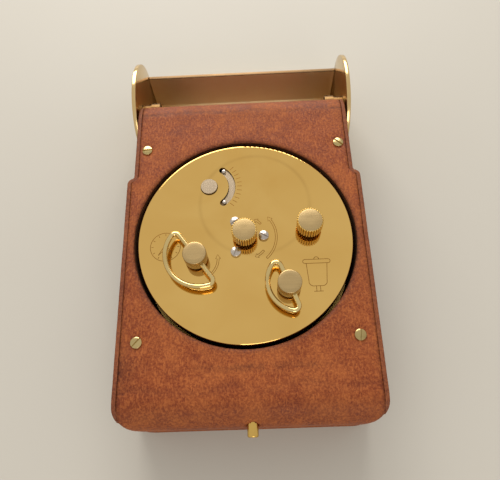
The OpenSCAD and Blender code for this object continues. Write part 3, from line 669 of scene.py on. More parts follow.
def outwards(bm: BMesh) -> BMesh:
    """Merges doubles and points every face out.

    Args:
        bm: a closed mesh.

    Returns:
        The same mesh.
    """
    bmesh.ops.remove_doubles(bm, verts=bm.verts, dist=MERGE)
    bmesh.ops.recalc_face_normals(bm, faces=bm.faces)
    return bm


def evaluated(obj: Object) -> bpy.types.Mesh:
    """Gives the mesh of an object as its modifiers leave it."""
    graph = bpy.context.evaluated_depsgraph_get()
    return bpy.data.meshes.new_from_object(obj.evaluated_get(graph))


def applied(obj: Object) -> Object:
    """Makes an object's modifiers part of its mesh.

    Args:
        obj: the object.

    Returns:
        The same object.
    """
    mesh = evaluated(obj)
    obj.modifiers.clear()
    obj.data = mesh
    return obj


def loops_mesh(bm: BMesh, rings: Sequence[Sequence[Vector]], round_again: bool = False
               ) -> None:
    """Skins a row of closed rings.

    Args:
        bm: mesh to add to.
        rings: rings of equally many points.
        round_again: whether the last ring joins the first. If not, both ends are filled.
    """
    made = [[bm.verts.new(point) for point in ring] for ring in rings]
    count = len(made[0])
    pairs = list(zip(made, made[1:])) + ([(made[-1], made[0])] if round_again else [])
    for low, high in pairs:
        for i in range(count):
            k = (i + 1) % count
            bm.faces.new((low[i], low[k], high[k], high[i]))
    if not round_again:
        bm.faces.new(list(reversed(made[0])))
        bm.faces.new(made[-1])


def skinned(name: str, rings: Sequence[Sequence[Vector]], material: Material,
            sharp: float = SHARP_EDGE) -> Object:
    """Makes a piece from a row of closed rings with filled ends.

    Args:
        name: name of the piece.
        rings: rings of equally many points.
        material: its finish.
        sharp: edges bent by more than this many degrees stay sharp.

    Returns:
        The piece.
    """
    bm = bmesh.new()
    loops_mesh(bm, rings)
    return piece(name, outwards(bm), material, sharp)


def turned(name: str, profile: Sequence[Point], material: Material, centre: Point = (0.0, 0.0),
           segments: int = 36) -> Object:
    """Makes a piece by turning a profile about a vertical line, with both ends capped.

    Args:
        name: name of the piece.
        profile: (radius, height) points.
        material: its finish.
        centre: place of the line in plan.
        segments: number of faces round it.

    Returns:
        The piece.
    """
    turns = [FULL_TURN * i / segments for i in range(segments)]
    return skinned(name, [[Vector((*polar(radius, turn, centre), height)) for turn in turns]
                          for radius, height in profile], material)


def rounded_rod(radius: float, low: float, high: float, edge: float) -> list[Point]:
    """Gives the profile of a rod with rounded rims.

    Args:
        radius: radius of the rod.
        low: height of its foot.
        high: height of its top.
        edge: radius of both rims.

    Returns:
        (radius, height) points from the foot up: five for each rim.
    """
    top = [(radius - edge + x, high - edge + z) for x, z in arc(edge, 0, 90, 4)]
    base = [(radius - edge + x, low + edge + z) for x, z in arc(edge, -90, 0, 4)]
    return base + top


def headings(path: Sequence[Vector], closed: bool = False) -> list[Vector]:
    """Gives the direction of a path at each of its points.

    Args:
        path: the points.
        closed: whether the last point joins the first.

    Returns:
        One unit vector for each point.
    """
    count = len(path)
    result = []
    for i in range(count):
        before = path[i - 1] if closed or i else path[0]
        after = path[(i + 1) % count] if closed or i < count - 1 else path[-1]
        result.append((after - before).normalized())
    return result


def tube(bm: BMesh, path: Sequence[Vector], radius: float, sides: int = 20) -> None:
    """Sweeps a round wire along a closed path that lies in one level plane.

    Args:
        bm: mesh to add to.
        path: the points of its middle line.
        radius: radius of the wire.
        sides: number of faces round it.
    """
    rings = []
    for point, along in zip(path, headings(path, closed=True)):
        side = Vector((along.y, -along.x, 0))
        rings.append([point + side * radius * math.cos(a) + Vector((0, 0, radius * math.sin(a)))
                      for a in (2 * math.pi * k / sides for k in range(sides))])
    loops_mesh(bm, rings, round_again=True)


def offset(outline: Sequence[Point], inward: float) -> list[Point]:
    """Moves a closed anticlockwise outline inwards.

    Args:
        outline: its points in plan.
        inward: how far it moves.

    Returns:
        The moved points.
    """
    result = []
    count = len(outline)
    for i, (x, y) in enumerate(outline):
        before, after = outline[i - 1], outline[(i + 1) % count]
        first = Vector((x - before[0], y - before[1])).normalized()
        second = Vector((after[0] - x, after[1] - y)).normalized()
        blend = Vector((-first.y, first.x)) + Vector((-second.y, second.x))
        reach = inward * 2 / max(blend.length_squared, TINY)
        result.append((x + blend.x * reach, y + blend.y * reach))
    return result


def cut(obj: Object, cutter: Object) -> None:
    """Cuts one mesh out of another and drops the cutter.

    Args:
        obj: the piece that is cut.
        cutter: the closed mesh that is taken away.
    """
    modifier = obj.modifiers.new("cut", "BOOLEAN")
    modifier.operation = "DIFFERENCE"
    modifier.solver = "EXACT"
    modifier.object = cutter
    applied(obj)
    bpy.data.objects.remove(cutter)
    shade(obj.data)


def cut_box(obj: Object, low: Vector, high: Vector) -> None:
    """Cuts a box out of a piece.

    Args:
        obj: the piece.
        low: lowest corner of the box.
        high: highest corner of the box.
    """
    bm = bmesh.new()
    bmesh.ops.create_cube(bm, size=1.0)
    size = high - low
    for vert in bm.verts:
        vert.co = low + Vector((size[i] * (vert.co[i] + 0.5) for i in range(3)))
    cut(obj, piece("cutter", bm, obj.data.materials[0]))


def soften(obj: Object, width: float, segments: int) -> None:
    """Rounds the sharp edges of a piece.

    Args:
        obj: the piece.
        width: width of the rounding.
        segments: number of faces across it.
    """
    corner = 40.0
    modifier = obj.modifiers.new("edges", "BEVEL")
    modifier.width = width
    modifier.segments = segments
    modifier.limit_method = "ANGLE"
    modifier.angle_limit = math.radians(corner)
    modifier.harden_normals = False
    applied(obj)
    shade(obj.data, BEVELLED_EDGE)


class Copies:
    """Places copies of one small shape at marked points with Geometry Nodes."""

    def __init__(self) -> None:
        """Builds the tree that every row of copies shares."""
        tree = bpy.data.node_groups.new("place_copies", "GeometryNodeTree")
        face = tree.interface
        face.new_socket("Marks", in_out="INPUT", socket_type="NodeSocketGeometry")
        self.shape = face.new_socket("Shape", in_out="INPUT", socket_type="NodeSocketObject")
        self.size = face.new_socket("Size", in_out="INPUT", socket_type="NodeSocketFloat")
        self.finish = face.new_socket("Finish", in_out="INPUT", socket_type="NodeSocketMaterial")
        face.new_socket("Copies", in_out="OUTPUT", socket_type="NodeSocketGeometry")
        given = tree.nodes.new("NodeGroupInput")
        out = tree.nodes.new("NodeGroupOutput")
        info = tree.nodes.new("GeometryNodeObjectInfo")
        turn = tree.nodes.new("GeometryNodeInputNamedAttribute")
        turn.data_type = "FLOAT_VECTOR"
        turn.inputs["Name"].default_value = "turn"
        place = tree.nodes.new("GeometryNodeInstanceOnPoints")
        real = tree.nodes.new("GeometryNodeRealizeInstances")
        dress = tree.nodes.new("GeometryNodeSetMaterial")
        join = tree.links.new
        join(given.outputs["Marks"], place.inputs["Points"])
        join(given.outputs["Shape"], info.inputs["Object"])
        join(info.outputs["Geometry"], place.inputs["Instance"])
        join(turn.outputs[0], place.inputs["Rotation"])
        join(given.outputs["Size"], place.inputs["Scale"])
        join(place.outputs[0], real.inputs[0])
        join(real.outputs[0], dress.inputs["Geometry"])
        join(given.outputs["Finish"], dress.inputs["Material"])
        join(dress.outputs[0], out.inputs[0])
        self.tree = tree

    def row(self, name: str, shape: Object, marks: Sequence[tuple[Vector, Vector]],
            material: Material) -> Object:
        """Copies a shape to every mark.

        Args:
            name: name of the finished piece.
            shape: the small shape, at the origin; it is removed afterwards.
            marks: pairs of place and turn (radians about X, Y and Z).
            material: finish of the copies.

        Returns:
            One plain mesh that holds all the copies.
        """
        mesh = bpy.data.meshes.new(name)
        mesh.from_pydata([place for place, _ in marks], [], [])
        turns = mesh.attributes.new("turn", "FLOAT_VECTOR", "POINT")
        turns.data.foreach_set("vector", [value for _, turn in marks for value in turn])
        result = linked(name, mesh)
        modifier = result.modifiers.new("copies", "NODES")
        modifier.node_group = self.tree
        modifier[self.shape.identifier] = shape
        modifier[self.size.identifier] = 1.0
        modifier[self.finish.identifier] = material
        applied(result)
        bpy.data.objects.remove(shape)
        shade(result.data)
        return result


class Finishes:
    """Every material of the clock, built once and found by name."""

    def __init__(self, cap_ring: Point, cap_ring_r: float) -> None:
        """Builds the materials.

        Args:
            cap_ring: centre of the faint ring on the cap.
            cap_ring_r: radius of that ring.
        """
        brass, dull = srgb(214, 178, 98), srgb(176, 138, 70)
        self.leather = Leather("leather", srgb(171, 97, 48), srgb(134, 64, 27), srgb(102, 39, 16),
                               srgb(56, 28, 19)).build()
        # A darker copy of the case leather for the side strips: painted shade on the side walls.
        self.edge = Leather("leather_edge", srgb(150, 88, 52), srgb(124, 66, 38), srgb(97, 46, 28),
                            srgb(48, 31, 26)).build()
        self.cap = PressedCap(cap_ring, cap_ring_r).build()
        self.brass = Metal("brass", brass, dull, 0.13).build()
        self.knob_top = Metal("turned_brass", srgb(180, 156, 112), srgb(162, 134, 88), 0.34,
                              grain=Grain.ALONG_X, grain_depth=0.0015 * MM).build()
        self.bail = Metal("bail_brass", srgb(216, 194, 136), srgb(176, 146, 88), 0.13).build()
        self.screw = Metal("screw_brass", srgb(196, 176, 124), srgb(128, 112, 68), 0.22,
                           tarnish_share=0.7).build()
        self.cheek = Metal("cheek_brass", srgb(214, 186, 134), srgb(186, 154, 100), 0.16).build()
        # The end plate's top, above 16.6 mm, is painted darker: painted shade over the plate's top.
        self.brushed = Metal("brushed_brass", srgb(254, 238, 202), srgb(243, 220, 176), 0.5, 0.1,
                             Grain.ALONG_Z, 0.012 * MM, dark_above=16.6 * MM).build()
        # Painted shade: the hinge lugs and pins get a dark brass so that they sink into the shade between the
        # case and the cheeks.
        self.lug = Metal("lug_brass_painted_shade", srgb(120, 94, 60), srgb(88, 66, 40), 0.4).build()
        self.plate = Metal("movement_brass", srgb(214, 180, 108), srgb(190, 150, 80), 0.3,
                           grain=Grain.ALONG_Y, grain_depth=0.01 * MM).build()
        self.wheel = Metal("wheel_brass", srgb(220, 184, 106), dull, 0.2).build()
        self.steel = Metal("steel", srgb(196, 188, 180), srgb(130, 118, 106), 0.24).build()
        self.satin = Metal("satin_steel", srgb(158, 143, 122), srgb(138, 123, 104), 0.36, 0.08,
                           Grain.ALONG_Y, 0.006 * MM).build()
        self.blued = Metal("blued_steel", srgb(60, 76, 128), srgb(50, 50, 80), 0.22).build()
        self.engraved = Metal("engraved_line", srgb(128, 88, 38), srgb(96, 66, 30), 0.45).build()
        self.silver = Enamel("silvered", srgb(206, 202, 192), srgb(180, 172, 156)).build()
        self.cream = Enamel("cream_dial", srgb(238, 231, 210), srgb(222, 208, 178)).build()
        self.black = Enamel("black_lacquer", srgb(16, 15, 16), srgb(30, 26, 24), 0.4).build()
        self.red = Enamel("red_lacquer", srgb(168, 38, 26), srgb(120, 30, 22), 0.25).build()
        self.glass = Glass().build()
        self.plush = Plush(srgb(122, 28, 34), srgb(70, 12, 18)).build()
        self.board = Board("cover_board", srgb(150, 122, 88), srgb(112, 88, 60)).build()
        self.wood = Board("case_wood", srgb(84, 54, 34), srgb(44, 27, 18)).build()
        self.table = Table().build()


def dress(nodes: Sequence[str], material: Material) -> None:
    """Gives carried-over CAD nodes a finish.

    Args:
        nodes: names of the nodes.
        material: the finish.
    """
    for name in nodes:
        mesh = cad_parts[name].data
        mesh.materials.clear()
        mesh.materials.append(material)


# ---- Case ----


@dataclass(frozen=True)
class CaseShape:
    """Outer sizes of the case, in metres."""

    half_w: float
    notch_w: float
    y_end: float
    y_shoulder: float
    front_z: float
    back_z: float
    hole_r: float
    end_r: float = 8 * MM
    corner_r: float = 5.5 * MM
    hinge_corner_r: float = 3 * MM
    shoulder_r: float = 2 * MM
    skin: float = 1.2 * MM

    @classmethod
    def from_frame(cls) -> "CaseShape":
        """Reads the sizes from the CAD nodes.

        Returns:
            The case's sizes.
        """
        low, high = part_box("case_leather_sides")
        cap_low, cap_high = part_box("back_cap")
        arm_room, notch, hole_gap = 1.2 * MM, 2 * MM, 1.05 * MM
        return cls(half_w=high.x, notch_w=high.x - notch, y_end=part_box("case_leather_back")[1].y,
                   y_shoulder=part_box("hinge_cheek_left")[0].y - arm_room, front_z=low.z,
                   back_z=cap_high.z, hole_r=(cap_high.x - cap_low.x) / 2 + hole_gap)

    def side_point(self, along: float) -> Point:
        """Gives a point on the side view's outline.

        Args:
            along: distance from the middle of the back, positive towards the hinge.

        Returns:
            Its place along the case and its height.
        """
        radius, flat = self.end_r, self.y_end - self.end_r
        quarter = math.pi / 2 * radius
        wall = self.back_z - self.front_z - 2 * radius
        distance, sign = abs(along), math.copysign(1, along)
        if distance <= flat:
            return along, self.back_z
        if distance <= flat + quarter:
            angle = (distance - flat) / radius
            return (sign * (flat + radius * math.sin(angle)),
                    self.back_z - radius + radius * math.cos(angle))
        if distance <= flat + quarter + wall:
            return sign * self.y_end, self.back_z - radius - (distance - flat - quarter)
        angle = math.pi / 2 + (distance - flat - quarter - wall) / radius
        return (sign * (flat + radius * math.sin(angle)),
                self.front_z + radius + radius * math.cos(angle))

    def around(self) -> float:
        """Gives how far the back leather reaches round an end.

        Returns:
            The distance along the skin, from the middle of the back.
        """
        radius = self.end_r
        last = math.acos((self.skin - radius) / radius) - math.pi / 2
        return (self.y_end - radius + math.pi / 2 * radius
                + self.back_z - self.front_z - 2 * radius + last * radius)

    def panel_half(self, y: float) -> float:
        """Gives half the width of the wrapped leather.

        Args:
            y: place along the case.

        Returns:
            The half width there.
        """
        wide, slim = self.half_w - self.skin, self.notch_w - self.skin
        start = self.y_shoulder - self.shoulder_r
        if y <= start:
            return wide
        if y >= self.y_shoulder:
            return slim
        share = math.sqrt(self.shoulder_r ** 2 - (y - start) ** 2) / self.shoulder_r
        return slim + share * (wide - slim)

    def end_limit(self, x: float, hinge: bool) -> float:
        """Gives how far the rounded corners in plan let the case reach.

        Args:
            x: place across the case.
            hinge: whether it is the hinge end.

        Returns:
            The largest distance from the middle, along the case.
        """
        radius = self.hinge_corner_r if hinge else self.corner_r
        middle_x = (self.notch_w if hinge else self.half_w) - radius
        over = clamp(abs(x) - middle_x, radius)
        return self.y_end - radius + math.sqrt(radius ** 2 - over ** 2)

    def edge_z(self, y: float) -> tuple[float, float]:
        """Gives the lowest and highest point of the side view.

        Args:
            y: place along the case.

        Returns:
            Both heights.
        """
        radius = self.end_r
        over = clamp(abs(y) - (self.y_end - radius), radius)
        drop = radius - math.sqrt(radius ** 2 - over ** 2)
        return self.front_z + drop, self.back_z - drop

    def side_path(self, steps: int = 7) -> list[Point]:
        """Lists the right-hand edge in plan, from the button end to the hinge end.

        Args:
            steps: number of spans in each rounded corner.

        Returns:
            Its points in plan.
        """
        long_spans, short_spans = 60, 30
        wide, slim = self.half_w, self.notch_w
        first = math.degrees(math.acos((self.corner_r - self.skin) / self.corner_r))
        last = math.degrees(math.acos((self.hinge_corner_r - self.skin) / self.hinge_corner_r))
        near = (wide - self.corner_r, self.corner_r - self.y_end)
        points = arc(self.corner_r, -first, 0, steps, near)
        start = points[-1][1]
        straight = self.y_shoulder - self.shoulder_r
        points += [(wide, start + (straight - start) * i / long_spans) for i in range(1, long_spans)]
        points += arc(self.shoulder_r, 0, 80, steps, (slim, straight))
        rest, end = points[-1][1] + 0.6 * MM, self.y_end - self.hinge_corner_r
        points += [(slim, rest + (end - rest) * i / short_spans) for i in range(short_spans)]
        points += arc(self.hinge_corner_r, 0, last, steps, (slim - self.hinge_corner_r, end))
        return points


@dataclass
class LeatherCase:
    """The leather over the case: a wrapped back, a front panel and two side strips."""

    shape: CaseShape
    finishes: Finishes
    cell: float = 0.62 * MM
    puff: float = 0.09 * MM
    screw_dip: float = 0.22 * MM
    screw_r: float = 1.6 * MM
    crease_deep: float = 0.16 * MM
    rim_drop: float = 0.14 * MM
    hole_drop: float = 0.24 * MM
    rim_reach: float = 0.5 * MM
    hinge_crease: float = 7.2 * MM
    button_crease: float = 9.5 * MM
    screws: list[Point] = field(default_factory=list)

    def rough_skin(self, place: Vector) -> float:
        """Gives how far the skin swells or sinks at a place, from its own unevenness."""
        slow = noise.noise(place * 160) * 0.6 + noise.noise(place * 420) * 0.3
        return self.puff * (slow + 0.25 * noise.noise(place * 900))

    def crease(self, place: Vector) -> float:
        """Gives the depth of the handling creases.

        Args:
            place: a point of the skin.

        Returns:
            The depth there, from 0 to 1.
        """
        wave = 1.1 * MM * noise.noise(Vector((place.x * 90, 0.3, 0.0)))
        share = 0.5 + 0.9 * noise.noise(Vector((place.x * 130, 4.2, 0.0)))
        hinge = abs(place.y - (self.shape.y_end - self.hinge_crease) - wave)
        near = max(0.0, 1 - hinge / (0.75 * MM))
        button = abs(place.y + self.shape.y_end - self.button_crease + 2 * wave)
        soft = 0.35 * max(0.0, 1 - button / (1.6 * MM))
        return min(1.0, near * clamp(share) + soft * max(0.0, share))

    def worn_band(self, place: Vector) -> float:
        """Gives how dark the rubbed band between the cap and the button end is.

        Args:
            place: a point of the skin.

        Returns:
            The darkness there, from 0 up.
        """
        sway = 1.2 * MM * noise.noise(Vector((place.x * 110, 9.1, 0.0)))
        middle_y = -self.shape.hole_r - 4.6 * MM + sway
        across = hump(place.y - middle_y, 0.8 * MM)
        along = hump(place.x - 3 * MM, 16 * MM)
        return 0.55 * across * along * max(0.0, 0.6 + noise.noise(place * 520))

    def grime(self, place: Vector, from_edge: float, from_hole: float) -> float:
        """Gives how dark the leather is painted: handling dirt, a rubbed band, a darker rim along the long
        edge and a dark patch near one corner, with painted shade in the creases, round the large hole and
        towards the rounded ends.

        Args:
            place: a point of the skin.
            from_edge: its distance from the long edge.
            from_hole: its distance from the large hole.

        Returns:
            The darkness there, from 0 to 1.
        """
        # Darker along the long edge; painted shadow round the large hole, where the gap at the cap shades the
        # leather.
        dark = 0.6 * fade(from_edge, 0.6 * MM) + 0.75 * fade(from_hole, 0.7 * MM)
        # Painted shade in the handling creases, plus the rubbed band's wear.
        dark += 0.65 * self.crease(place) + self.worn_band(place)
        corner = Vector((-self.shape.half_w + 1.5 * MM, -self.shape.y_end + 15 * MM, place.z))
        dark += 0.42 * hump((place - corner).length, 5 * MM)
        # Painted shade: darker towards the ends, where the leather rounds over.
        end_zone = 12 * MM
        dark += 0.18 * clamp((abs(place.y) - (self.shape.y_end - end_zone)) / end_zone)
        dark += 0.16 * max(0.0, noise.noise(place * 75 + Vector((3.1, 0, 0))))
        return clamp(dark)

    def round_hole(self, bm: BMesh, centre: Vector, radius: float, axes: tuple[int, int],
                   third: float) -> None:
        """Opens a round hole in a fine grid.

        Args:
            bm: the grid.
            centre: centre of the hole.
            radius: radius of the hole.
            axes: the two axes of its plane.
            third: how far from the centre along the other axis the hole still cuts.
        """
        other = 3 - axes[0] - axes[1]

        def away(point: Vector) -> float:
            """Gives the distance from the hole's axis."""
            return math.hypot(point[axes[0]] - centre[axes[0]], point[axes[1]] - centre[axes[1]])

        def near(point: Vector) -> bool:
            """Says whether a point is on the hole's side of the case."""
            return abs(point[other] - centre[other]) < third

        inside = [f for f in bm.faces
                  if away(f.calc_center_median()) < radius and near(f.calc_center_median())]
        bmesh.ops.delete(bm, geom=inside, context="FACES")
        close = [v for v in bm.verts if away(v.co) < radius + 3 * self.cell and near(v.co)]
        rim = [v for v in close if v.is_boundary and away(v.co) < radius + 1.5 * self.cell]
        for vert in rim:
            scale = radius / max(away(vert.co), TINY)
            for axis in axes:
                vert.co[axis] = centre[axis] + (vert.co[axis] - centre[axis]) * scale
        fixed = set(rim)
        self.relax(bm, [v for v in close if v not in fixed], 4)

    @staticmethod
    def relax(bm: BMesh, verts: list[bmesh.types.BMVert], passes: int) -> None:
        """Evens out the spacing of some points of a grid.

        Args:
            bm: the grid.
            verts: the points that may move.
            passes: how often they are moved half-way to their neighbours.
        """
        for _ in range(passes):
            bmesh.ops.smooth_vert(bm, verts=verts, factor=0.5, use_axis_x=True, use_axis_y=True,
                                  use_axis_z=True)

    def relief(self, bm: BMesh, hole_z: float) -> list[float]:
        """Moves the grid's points to a worn leather surface.

        Args:
            bm: the smooth grid.
            hole_z: height of the face that the large hole is in.

        Returns:
            The dirt and painted shade value of each point.
        """
        bm.normal_update()
        moves, values = [], []
        for vert in bm.verts:
            place = vert.co
            from_edge = self.shape.panel_half(place.y) - abs(place.x)
            on_face = abs(place.z - hole_z) < 1 * MM
            from_hole = math.hypot(place.x, place.y) - self.shape.hole_r if on_face else 1.0
            push = self.rough_skin(place) - self.crease_deep * self.crease(place)
            push -= self.rim_drop * fade(from_edge, self.rim_reach)
            push -= self.hole_drop * fade(from_hole, self.rim_reach)
            for x, y in self.screws:
                off = math.hypot(place.x - x, place.y - y) - self.screw_r
                if on_face and off < 2 * MM:
                    push = min(push, -0.05 * MM) - self.screw_dip * fade(off, self.rim_reach)
            moves.append(vert.normal * push)
            values.append(self.grime(place, from_edge, from_hole))
        for vert, move in zip(bm.verts, moves):
            vert.co += move
        return values

    def finish_skin(self, name: str, bm: BMesh, values: list[float],
                    material: Material) -> Object:
        """Gives a skin its dirt-and-shade values, its thickness and its finish.

        Args:
            name: name of the piece.
            bm: the skin's outer face.
            values: the dirt and painted shade of each point.
            material: its finish.

        Returns:
            The finished piece.
        """
        rounded = 75.0
        skin = piece(name, bm, material, rounded)
        mark = skin.data.attributes.new("grime", "FLOAT", "POINT")
        mark.data.foreach_set("value", values)
        wall = skin.modifiers.new("wall", "SOLIDIFY")
        wall.thickness = self.shape.skin - 0.1 * MM
        wall.offset = -1
        return applied(skin)

    def sheet(self, line: Sequence[Point]) -> BMesh:
        """Makes a fine grid as wide as the panel.

        Args:
            line: (y, z) points of its middle line, in an order that turns the faces out.

        Returns:
            The grid.
        """
        columns = round(2 * self.shape.panel_half(0) / self.cell)
        bm = bmesh.new()
        grid = []
        for y, z in line:
            half = self.shape.panel_half(y)
            row = []
            for j in range(columns + 1):
                x = half * (2 * j / columns - 1)
                limit = self.shape.end_limit(x, y > 0)
                row.append(bm.verts.new((x, max(-limit, min(limit, y)), z)))
            grid.append(row)
        for low, high in zip(grid, grid[1:]):
            for j in range(columns):
                bm.faces.new((low[j], high[j], high[j + 1], low[j + 1]))
        return bm

    def back(self) -> Object:
        """Makes the leather that wraps the back and both ends.

        Returns:
            The finished piece.
        """
        shape = self.shape
        reach = shape.around()
        rows = round(2 * reach / self.cell)
        bm = self.sheet([shape.side_point(reach - 2 * reach * i / rows) for i in range(rows + 1)])
        end_zone, button_r = 10 * MM, 1.75 * MM
        self.relax(bm, [v for v in bm.verts if not v.is_boundary and abs(v.co.y) > shape.y_end - end_zone], 3)
        self.round_hole(bm, Vector((0, 0, shape.back_z)), shape.hole_r, (0, 1), 2 * MM)
        button = Vector((middle("push_button")[0], -shape.y_end, middle_z("button_spring")))
        self.round_hole(bm, button, button_r, (0, 2), 6 * MM)
        values = self.relief(bm, shape.back_z)
        return self.finish_skin("back_leather", bm, values, self.finishes.leather)

    def front(self) -> Object:
        """Makes the panel round the dial's opening.

        Returns:
            The finished piece, open where the catch passes.
        """
        shape = self.shape
        reach = shape.y_end - shape.end_r + math.sqrt(shape.end_r ** 2 - (shape.end_r - shape.skin) ** 2)
        rows = round(2 * reach / self.cell)
        places = [-reach + 2 * reach * i / rows for i in range(rows + 1)]
        bm = self.sheet([(y, shape.edge_z(y)[0]) for y in places])
        self.round_hole(bm, Vector((0, 0, shape.front_z)), shape.hole_r, (0, 1), 2 * MM)
        values = self.relief(bm, shape.front_z)
        panel = self.finish_skin("front_leather", bm, values, self.finishes.leather)
        low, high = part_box("catch_plate")
        foot, room = 2.4 * MM, 0.7 * MM
        cut_box(panel, Vector((low.x + foot - room, low.y + 0.8 * MM, shape.front_z - 1 * MM)),
                Vector((high.x - foot + room, high.y - 0.6 * MM, shape.front_z + 3 * MM)))
        return panel

    def strip(self, side: int) -> Object:
        """Makes one side strip.

        Args:
            side: 1 for the right one, -1 for the left one.

        Returns:
            The strip with its rounded rims.
        """
        path = [Vector(point) for point in self.shape.side_path()]
        thick, rim, walls, rounded = self.shape.skin, 0.4 * MM, 10, 60.0
        rings = []
        for point, along in zip(path, headings(path)):
            inward = Vector((-along.y, along.x, 0))
            low, high = self.shape.edge_z(point.y)
            section = [(thick, low), *[(rim - u, low + rim + v) for u, v in arc(rim, 270, 360, 3)]]
            section += [(0.0, low + rim + (high - low - 2 * rim) * k / walls) for k in range(1, walls)]
            section += [(rim - u, high - rim + v) for u, v in arc(rim, 0, 90, 3)]
            section += [(thick, high)]
            ring = []
            for depth, z in section:
                place = Vector((*point, z)) + inward * depth
                swell = self.rough_skin(place) * 0.8 if depth < thick else 0.0
                place -= inward * min(swell, 0.02 * MM)
                place.x *= side
                ring.append(place)
            rings.append(ring)
        bm = bmesh.new()
        loops_mesh(bm, rings)
        # Painted shade: the strips darken from their top rim downwards, over random dirt patches.
        values = []
        for vert in outwards(bm).verts:
            below = self.shape.edge_z(vert.co.y)[1] - vert.co.z
            patches = 0.3 * max(0.0, noise.noise(vert.co * 120))
            values.append(0.12 + 0.5 * min(1.0, below / (1.2 * MM)) + patches)
        name = "right_side_leather" if side > 0 else "left_side_leather"
        # The side strips take the darker leather copy: painted shade.
        strip = piece(name, bm, self.finishes.edge, rounded)
        strip.data.attributes.new("grime", "FLOAT", "POINT").data.foreach_set("value", values)
        return strip

    def build(self) -> None:
        """Makes and seats every leather piece of the case."""
        seat(self.back(), "case", "case_leather_back")
        seat(self.front(), "case", "case_leather_front")
        for side in (-1, 1):
            seat(self.strip(side), "case", "case_leather_sides")
        log.info("case leather")


# ---- Screws, knobs and keys ----


@dataclass
class SlottedScrews:
    """A group of equal slotted screws, placed by Geometry Nodes."""

    copies: Copies
    radius: float
    low: float
    high: float
    slot_w: float
    slot_deep: float
    dome: float = 0.12 * MM

    def head(self, material: Material) -> Object:
        """Makes one screw head at the origin with its slot along X.

        Args:
            material: its finish.

        Returns:
            The head.
        """
        edge, chamfer = 0.16 * MM, 0.1 * MM
        rim = self.high - self.dome - edge
        profile = [(self.radius - chamfer, self.low)]
        profile += [(self.radius - edge + x, rim + z) for x, z in arc(edge, 0, 70, 3)]
        profile += [(self.radius * share, self.high - self.dome * share ** 2) for share in (0.7, 0.4, 0.1)]
        head = turned("screw_head", profile, material, segments=40)
        reach, floor = self.radius * 1.2, self.high - self.slot_deep
        cut_box(head, Vector((-reach, -self.slot_w / 2, floor)), Vector((reach, self.slot_w / 2, floor + MM)))
        return head

    def place(self, name: str, at: Sequence[tuple[Point, float]], material: Material
              ) -> Object:
        """Places a head at each point.

        Args:
            name: name of the finished piece.
            at: pairs of a point in plan and the turn of the slot in degrees.
            material: finish of the heads.

        Returns:
            One piece that holds all the heads.
        """
        marks = [(Vector((*point, 0.0)), Vector((0, 0, math.radians(turn)))) for point, turn in at]
        return self.copies.row(name, self.head(material), marks, material)


@dataclass
class SerratedKnob:
    """A flat-topped knob with milled serrations, standing on its thin arbor."""

    copies: Copies
    finishes: Finishes
    node: str
    body: str
    teeth: int = 30
    tooth_r: float = 0.32 * MM
    groove: float = 0.6 * MM

    def build(self) -> None:
        """Makes the knob and seats it on its body."""
        low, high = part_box(self.node)
        centre = middle(self.node)
        radius = (high.x - low.x) / 2
        edge, bore, core, plate = 0.2 * MM, 1.2 * MM, radius - self.groove, radius - 0.3 * MM
        profile = [(bore, low.z), (core, low.z), (core, high.z - 0.5 * MM), (plate, high.z - 0.4 * MM)]
        profile += rounded_rod(plate, low.z, high.z, edge)[5:]
        profile += [(1.0 * MM, high.z)]
        knob = turned(self.node + "_turned", profile, self.finishes.knob_top, centre, 90)
        rod = rounded_rod(self.tooth_r, low.z + 0.1 * MM, high.z - 0.06 * MM, 0.12 * MM)
        shape = turned("tooth", rod, self.finishes.brass, segments=10)
        marks = []
        for k in range(self.teeth):
            turn = k * FULL_TURN / self.teeth
            marks.append((Vector((*polar(radius - self.tooth_r, turn, centre), 0.0)),
                          Vector((0, 0, math.radians(turn)))))
        ring = self.copies.row(self.node + "_serrations", shape, marks, self.finishes.brass)
        seat(knob, self.body, self.node)
        seat(ring, self.body)
        log.info("%s", self.node)


